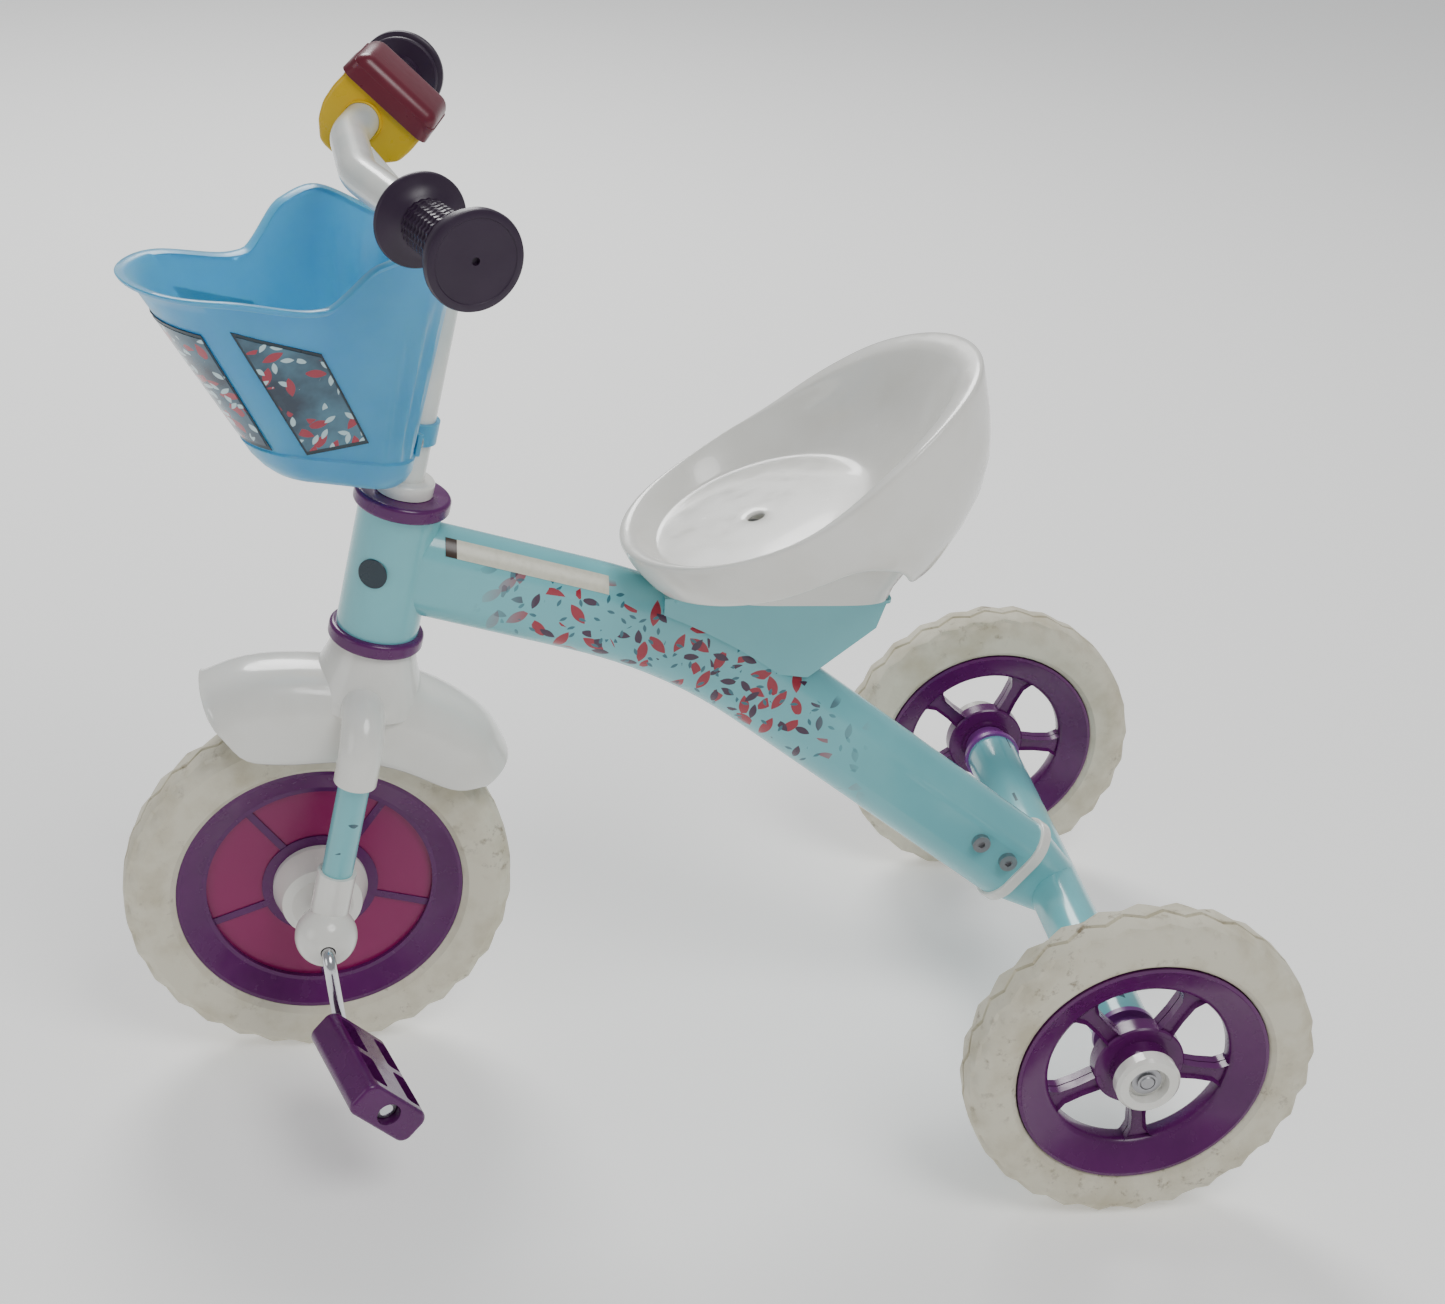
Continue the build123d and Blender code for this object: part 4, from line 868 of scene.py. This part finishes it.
def bar_direction(side):
    """Outward direction of the swept end: 1 is left, -1 is right."""
    return (bar_left * side * cos(BAR_SWEEP) - bar_ahead * sin(BAR_SWEEP)).normalized()


def bar_frame(side, along):
    """Frame on the swept end of the bar: local Z runs outwards."""
    spot = bar_centre + (bar_left * side * BAR_STRAIGHT + bar_direction(side) * along) * MM
    return place(spot, bar_ahead, bar_direction(side))


def make_grips():
    """Soft grips: thin inner flange, finely ribbed barrel and a double disc at the end."""
    for side, word in ((1, "left"), (-1, "right")):
        profile = [
            (0.2, 11.2), (0.2, 24.5), (0.8, 25.6), (1.8, 26), (3.2, 26), (4.2, 25.4), (5.4, 21), (7.4, 16.4),
            (9, 15),
        ]
        start, finish, pitch = 10.5, GRIP_LONG - 17.0, bpy.context.scene.tricycle_sizes.rib_pitch / MM
        count = int((finish - start) / pitch)
        for index in range(count):
            at = start + index * pitch
            profile += [(at, 13.0), (at + 0.5, RIB_RADIUS), (at + 2.4, RIB_RADIUS), (at + 2.9, 13.0)]
        profile += [
            (GRIP_LONG - 14, 14.6), (GRIP_LONG - 13, 20), (GRIP_LONG - 12.4, 23.6), (GRIP_LONG - 11.4, 24.4),
            (GRIP_LONG - 8.4, 24.4), (GRIP_LONG - 7.6, 23.4), (GRIP_LONG - 7.2, 21.5),
            (GRIP_LONG - 6.6, 21.5), (GRIP_LONG - 6.2, 25.6), (GRIP_LONG - 5.2, 26.8),
            (GRIP_LONG - 2.4, 27), (GRIP_LONG - 0.8, 26.4),
            (GRIP_LONG - 0.2, 25), (GRIP_LONG - 0.2, 22.6), (GRIP_LONG - 0.7, 22.2), (GRIP_LONG - 0.7, 2.2),
            (GRIP_LONG - 3.0, 2.0), (GRIP_LONG - 3.0, 0.0), (GRIP_LONG - 5.0, 0.0), (GRIP_LONG - 5.0, 11.2),
        ]
        mesh_data = spun_profile(profile, 84)
        for vert in mesh_data.verts:
            radius, turn = hypot(vert.co.x, vert.co.y), atan2(vert.co.y, vert.co.x)
            if start - 1 < vert.co.z < finish + 3 and abs(radius - RIB_RADIUS) < 0.1:
                vert.co.xy *= 1 - 0.05 * (0.5 + 0.5 * cos(RIB_BUMPS * turn))
        finish_piece(mesh_data, "grip_" + word + "_ribbed", bar_frame(side, GRIP_START),
                     FINISH["grip_rubber"], "steering", ("grip_" + word,))


BELL_ALONG, BELL_LEAN = 58.0, radians(49)


def bell_frame(wide):
    """Frame at the bell's inner end: local Z runs outwards along the bar and X to the press cover."""
    axis = bar_direction(-1)
    spot = bar_centre + (bar_left * -BAR_STRAIGHT + axis * (BELL_ALONG - wide / 2)) * MM
    outward = Z_AXIS * sin(BELL_LEAN) - bar_ahead * cos(BELL_LEAN)
    return place(spot, outward - axis * outward.dot(axis), axis)


def make_bell():
    """Squeeze bell: yellow body round the bar and a rounded maroon press cover over it."""
    wide = bpy.context.scene.tricycle_sizes.bell_width / MM
    matrix = bell_frame(wide)
    upward = 1 if (matrix.to_3x3() @ Y_AXIS).z > 0 else -1
    body = extruded_outline([(x, y * upward) for x, y in (
        (20, -32.6), (20, 24.6), (4, 25.5), (-8, 24), (-18, 19.5), (-27, 11), (-28, 6), (-28, -8),
        (-24, -14), (-14, -24), (-4, -32), (6, -33),
    )], 0, wide)
    bevel_edges(body, body.edges[:], 2.6, 3)
    finish_piece(body, "bell_housing", matrix, FINISH["bell_yellow"], "steering",
                 ("bell_body", "bell_clamp"))
    collar = spun_profile([(-2.4, 11.2), (-2.4, 11.8), (-1.9, 12.2), (wide + 1.9, 12.2),
                           (wide + 2.4, 11.8), (wide + 2.4, 11.2)], 48)
    finish_piece(collar, "bell_clamp_sleeve", matrix, FINISH["bell_yellow"], "steering")

    cover = bmesh.new()
    bmesh.ops.create_cube(cover, size=1.0)
    long, tall, low, shift = 64.0, 17.4, 15.4, -4.0 * upward
    centre = Vector((low + tall / 2, shift, wide / 2))
    bmesh.ops.scale(cover, vec=(tall, long, wide + 4.0), verts=cover.verts)
    bmesh.ops.translate(cover, vec=centre, verts=cover.verts)
    top = {vert for vert in cover.verts if vert.co.x > centre.x}
    for vert in top:
        vert.co.y = centre.y + (vert.co.y - centre.y) * 0.9
        vert.co.z = centre.z + (vert.co.z - centre.z) * 0.92
    rounded = [edge for edge in cover.edges if top.intersection(edge.verts)]
    bevel_edges(cover, rounded, 7.0, 5)
    open_face = [min(cover.faces, key=lambda face: face.calc_center_median().x)]
    bmesh.ops.inset_region(cover, faces=open_face, thickness=1.0, use_even_offset=True)
    hollow = bmesh.ops.extrude_discrete_faces(cover, faces=open_face)["faces"]
    bmesh.ops.translate(cover, vec=(9.5, 0, 0), verts=hollow[0].verts)
    finish_piece(cover, "bell_press_cover", matrix, FINISH["bell_maroon"], "bell_cover",
                 ("bell_cover",))


# Labels ------------------------------------------------------------------------------------------

LABEL_FROM, LABEL_TO, LABEL_STRIP, LABEL_LOW, LABEL_HIGH = 0.166, 0.064, 0.007, radians(30), radians(62)
TUBE_HALF, BADGE_UP, BADGE_OUT = 0.023, 241.0, 25.9


def make_labels():
    """Blank cream label on the shoulder of the backbone and a plain round badge on the head tube."""
    tube = NODES["backbone_tube"]
    film = bmesh.new()
    bmesh.ops.create_grid(film, x_segments=30, y_segments=8, size=0.5)
    for vert in film.verts:
        along = LABEL_FROM + (LABEL_TO - LABEL_FROM) * (vert.co.x + 0.5)
        lift = LABEL_LOW + (LABEL_HIGH - LABEL_LOW) * (vert.co.y + 0.5)
        top = tube.ray_cast((along, 0, 1), (0, 0, -1))[1]
        outward = Vector((0, cos(lift), sin(lift)))
        start = Vector((along, 0, top.z - TUBE_HALF)) + outward * 0.1
        vert.co = (tube.ray_cast(start, -outward)[1] + outward * 0.00035) / MM
    bmesh.ops.recalc_face_normals(film, faces=film.faces)
    bmesh.ops.solidify(film, geom=film.faces[:], thickness=0.25)
    finish_piece(film, "backbone_label", Matrix.Scale(MM, 4), FINISH["label"], "frame")

    badge = spun_profile([(0, 0), (0, 9.2), (0.5, 9.6), (0.9, 9.2), (0.9, 0)], 40)
    facing = (frame_ahead() * 0.42 + Y_AXIS * 0.91).normalized()
    spot = STEER @ Vector((0, 0, BADGE_UP)) + facing * BADGE_OUT * MM
    finish_piece(badge, "head_badge", place(spot, head_axis, facing), FINISH["dark_film"], "frame")


def frame_ahead():
    """Forward direction square to the steering axis, with the bars straight."""
    return Y_AXIS.cross(head_axis).normalized()


# Stage -------------------------------------------------------------------------------------------

def make_floor():
    """Pale matt floor, barely lit from within so that it stays light."""
    mesh_data = bmesh.new()
    bmesh.ops.create_grid(mesh_data, x_segments=2, y_segments=2, size=30.0)
    mesh = bpy.data.meshes.new("floor")
    mesh_data.to_mesh(mesh)
    mesh_data.free()
    floor = bpy.data.objects.new("floor", mesh)
    bpy.context.scene.collection.objects.link(floor)
    white = (1, 1, 1, 1)
    material = new_material("studio_floor", Roughness=0.9, Base_Color=linear("EDEDEB"),
                            Emission_Strength=0.3, Emission_Color=white)[0]
    floor.data.materials.append(material)


def soft_light(name, spot, aim, size, watts):
    """Round soft light that faces a point."""
    light = bpy.data.lights.new(name, "AREA")
    light.shape = "DISK"
    light.size, light.energy = size, watts
    lamp = bpy.data.objects.new(name, light)
    lamp.location = spot
    lamp.rotation_euler = (Vector(aim) - Vector(spot)).to_track_quat("-Z", "Y").to_euler()
    bpy.context.scene.collection.objects.link(lamp)


def make_camera():
    """Camera placed by the angles of the panel."""
    view = bpy.context.scene.tricycle_view
    camera_data = bpy.data.cameras.new("camera")
    camera_data.lens, camera_data.sensor_width = view.lens, 36.0
    camera_data.clip_end = 20.0
    camera = bpy.data.objects.new("camera", camera_data)
    bpy.context.scene.collection.objects.link(camera)
    level = cos(view.rise)
    back = Vector((sin(view.turn) * level, cos(view.turn) * level, sin(view.rise))).normalized()
    right = Z_AXIS.cross(back).normalized()
    basis = Matrix((right, back.cross(right), back)).transposed()
    camera.matrix_world = (
        Matrix.Translation(Vector(view.target) + back * view.distance) @ basis.to_4x4()
        @ Matrix.Rotation(view.roll, 4, "Z")
    )
    bpy.context.scene.camera = camera


def make_stage():
    """Floor, three soft lights, a dim even sky and the camera."""
    make_floor()
    middle = (0, 0, 0.3)
    soft_light("window_light", (-0.9, 1.5, 2.9), middle, 1.6, 46)
    soft_light("back_light", (0.4, -2.3, 2.3), middle, 1.4, 62)
    soft_light("front_fill", (2.6, 1.2, 1.2), middle, 1.6, 9)
    world = bpy.data.worlds.new("studio")
    world.use_nodes = True
    sky = world.node_tree.nodes["Background"]
    sky.inputs["Color"].default_value = (0.95, 0.97, 1.0, 1)
    sky.inputs["Strength"].default_value = 0.36
    bpy.context.scene.world = world
    make_camera()


# Add-on ------------------------------------------------------------------------------------------

def length(name, description, value_mm):
    """Length property with a default in millimetres."""
    return FloatProperty(
        name=name, description=description, default=value_mm * MM, min=0.1 * MM, unit="LENGTH",
    )


def colour(name, description, hex_colour):
    """Colour property with an sRGB hex default."""
    return FloatVectorProperty(
        name=name, description=description, default=linear(hex_colour), size=4, min=0, max=1, subtype="COLOR",
    )


class TricycleSizes(bpy.types.PropertyGroup):
    """Sizes of the moulded pieces that a user may change."""
    tread_pitch: length("Tread pitch", "Length of one zigzag round the tyre", 25.0)
    tread_depth: length("Tread depth", "Depth of the middle groove of the tread", 2.2)
    basket_wall: length("Basket wall", "Thickness of the basket's skin", 2.6)
    guard_wall: length("Mudguard wall", "Thickness of the mudguard", 2.5)
    rib_pitch: length("Rib pitch", "Distance between two ribs of a grip", 4.2)
    bell_width: length("Bell width", "Width of the bell along the bar", 44.0)


class TricycleColours(bpy.types.PropertyGroup):
    """Colours of the finishes that a user may change."""
    enamel: colour("Frame enamel", "Paint of the tubes", "74BFC6")
    stem: colour("Bar enamel", "Paint of the stem and handlebar", "E6E6E0")
    white: colour("White plastic", "Seat, mudguard and covers", "E9E8E2")
    plum: colour("Plum plastic", "Rims and pedals", "58125A")
    lilac: colour("Lilac plastic", "Small nylon parts", "7B3A8A")
    magenta: colour("Wheel panels", "Sheet between the spokes of the front wheel", "8C0058")
    basket: colour("Basket", "Translucent basket", "58C4F0")
    tyre: colour("Tyres", "Clean foam of the tyres", "D6D1BE")
    grip: colour("Grips", "Soft hand grips", "2A1630")
    bell: colour("Bell", "Body of the bell", "DDB400")
    bell_cover: colour("Bell cover", "Press cover of the bell", "661A2C")


class TricycleView(bpy.types.PropertyGroup):
    """Placing of the camera."""
    lens: FloatProperty(name="Lens", description="Focal length of the camera", default=56.635, unit="CAMERA")
    turn: FloatProperty(
        name="Turn", description="Angle from the left side to the front", default=radians(10.09),
        unit="ROTATION",
    )
    rise: FloatProperty(
        name="Rise", description="Angle above the floor", default=radians(27.79), unit="ROTATION",
    )
    roll: FloatProperty(
        name="Roll", description="Turn about the line of sight", default=radians(4.37), unit="ROTATION",
    )
    distance: FloatProperty(
        name="Distance", description="Distance to the target", default=1.4759, unit="LENGTH",
    )
    target: FloatVectorProperty(
        name="Target", description="Point that the camera faces", default=(-0.01397, 0.0, 0.297),
        subtype="TRANSLATION",
    )


class TRICYCLE_OT_finishes(bpy.types.Operator):
    """Makes every material"""
    bl_idname = "tricycle.finishes"
    bl_label = "Finishes"

    def execute(self, context):
        make_finishes()
        return {"FINISHED"}


class TRICYCLE_OT_dress(bpy.types.Operator):
    """Gives each carried-over node its finish"""
    bl_idname = "tricycle.dress"
    bl_label = "Dress frame"

    def execute(self, context):
        dress_nodes()
        return {"FINISHED"}


class TRICYCLE_OT_wheels(bpy.types.Operator):
    """Makes the three tyres and the rear rims"""
    bl_idname = "tricycle.wheels"
    bl_label = "Wheels"

    def execute(self, context):
        make_wheels()
        return {"FINISHED"}


class TRICYCLE_OT_seat(bpy.types.Operator):
    """Makes the bucket seat and its pedestal"""
    bl_idname = "tricycle.seat"
    bl_label = "Seat"

    def execute(self, context):
        make_seat()
        return {"FINISHED"}


class TRICYCLE_OT_basket(bpy.types.Operator):
    """Makes the basket and its window cards"""
    bl_idname = "tricycle.basket"
    bl_label = "Basket"

    def execute(self, context):
        make_basket()
        return {"FINISHED"}


class TRICYCLE_OT_mudguard(bpy.types.Operator):
    """Makes the mudguard, its cone and its sleeves"""
    bl_idname = "tricycle.mudguard"
    bl_label = "Mudguard"

    def execute(self, context):
        make_mudguard()
        return {"FINISHED"}


class TRICYCLE_OT_grips(bpy.types.Operator):
    """Makes both hand grips"""
    bl_idname = "tricycle.grips"
    bl_label = "Grips"

    def execute(self, context):
        make_grips()
        return {"FINISHED"}


class TRICYCLE_OT_bell(bpy.types.Operator):
    """Makes the squeeze bell"""
    bl_idname = "tricycle.bell"
    bl_label = "Bell"

    def execute(self, context):
        make_bell()
        return {"FINISHED"}


class TRICYCLE_OT_labels(bpy.types.Operator):
    """Makes the blank label and the badge"""
    bl_idname = "tricycle.labels"
    bl_label = "Labels"

    def execute(self, context):
        make_labels()
        return {"FINISHED"}


class TRICYCLE_OT_stage(bpy.types.Operator):
    """Makes the floor, lights and camera"""
    bl_idname = "tricycle.stage"
    bl_label = "Stage"

    def execute(self, context):
        make_stage()
        return {"FINISHED"}


OPERATORS = (
    TRICYCLE_OT_finishes, TRICYCLE_OT_dress, TRICYCLE_OT_wheels, TRICYCLE_OT_seat,
    TRICYCLE_OT_basket, TRICYCLE_OT_mudguard, TRICYCLE_OT_grips, TRICYCLE_OT_bell,
    TRICYCLE_OT_labels, TRICYCLE_OT_stage,
)
GROUPS = {"tricycle_sizes": TricycleSizes, "tricycle_colours": TricycleColours, "tricycle_view": TricycleView}


class TRICYCLE_PT_panel(bpy.types.Panel):
    """Lists the tricycle's makers and settings"""
    bl_idname = "TRICYCLE_PT_panel"
    bl_label = "Tricycle"
    bl_space_type = "VIEW_3D"
    bl_region_type = "UI"
    bl_category = "Tricycle"

    def draw(self, context):
        for item in OPERATORS:
            self.layout.operator(item.bl_idname)
        for group_name, group in GROUPS.items():
            for name in group.__annotations__:
                self.layout.prop(getattr(context.scene, group_name), name)


CLASSES = (*GROUPS.values(), *OPERATORS, TRICYCLE_PT_panel)


def register():
    for item in CLASSES:
        bpy.utils.register_class(item)
    for name, group in GROUPS.items():
        setattr(bpy.types.Scene, name, PointerProperty(type=group))


def unregister():
    for name in GROUPS:
        delattr(bpy.types.Scene, name)
    for item in reversed(CLASSES):
        bpy.utils.unregister_class(item)


def main():
    register()
    for item in OPERATORS:
        family, name = item.bl_idname.split(".")
        getattr(getattr(bpy.ops, family), name)()


if __name__ == "__main__":
    main()
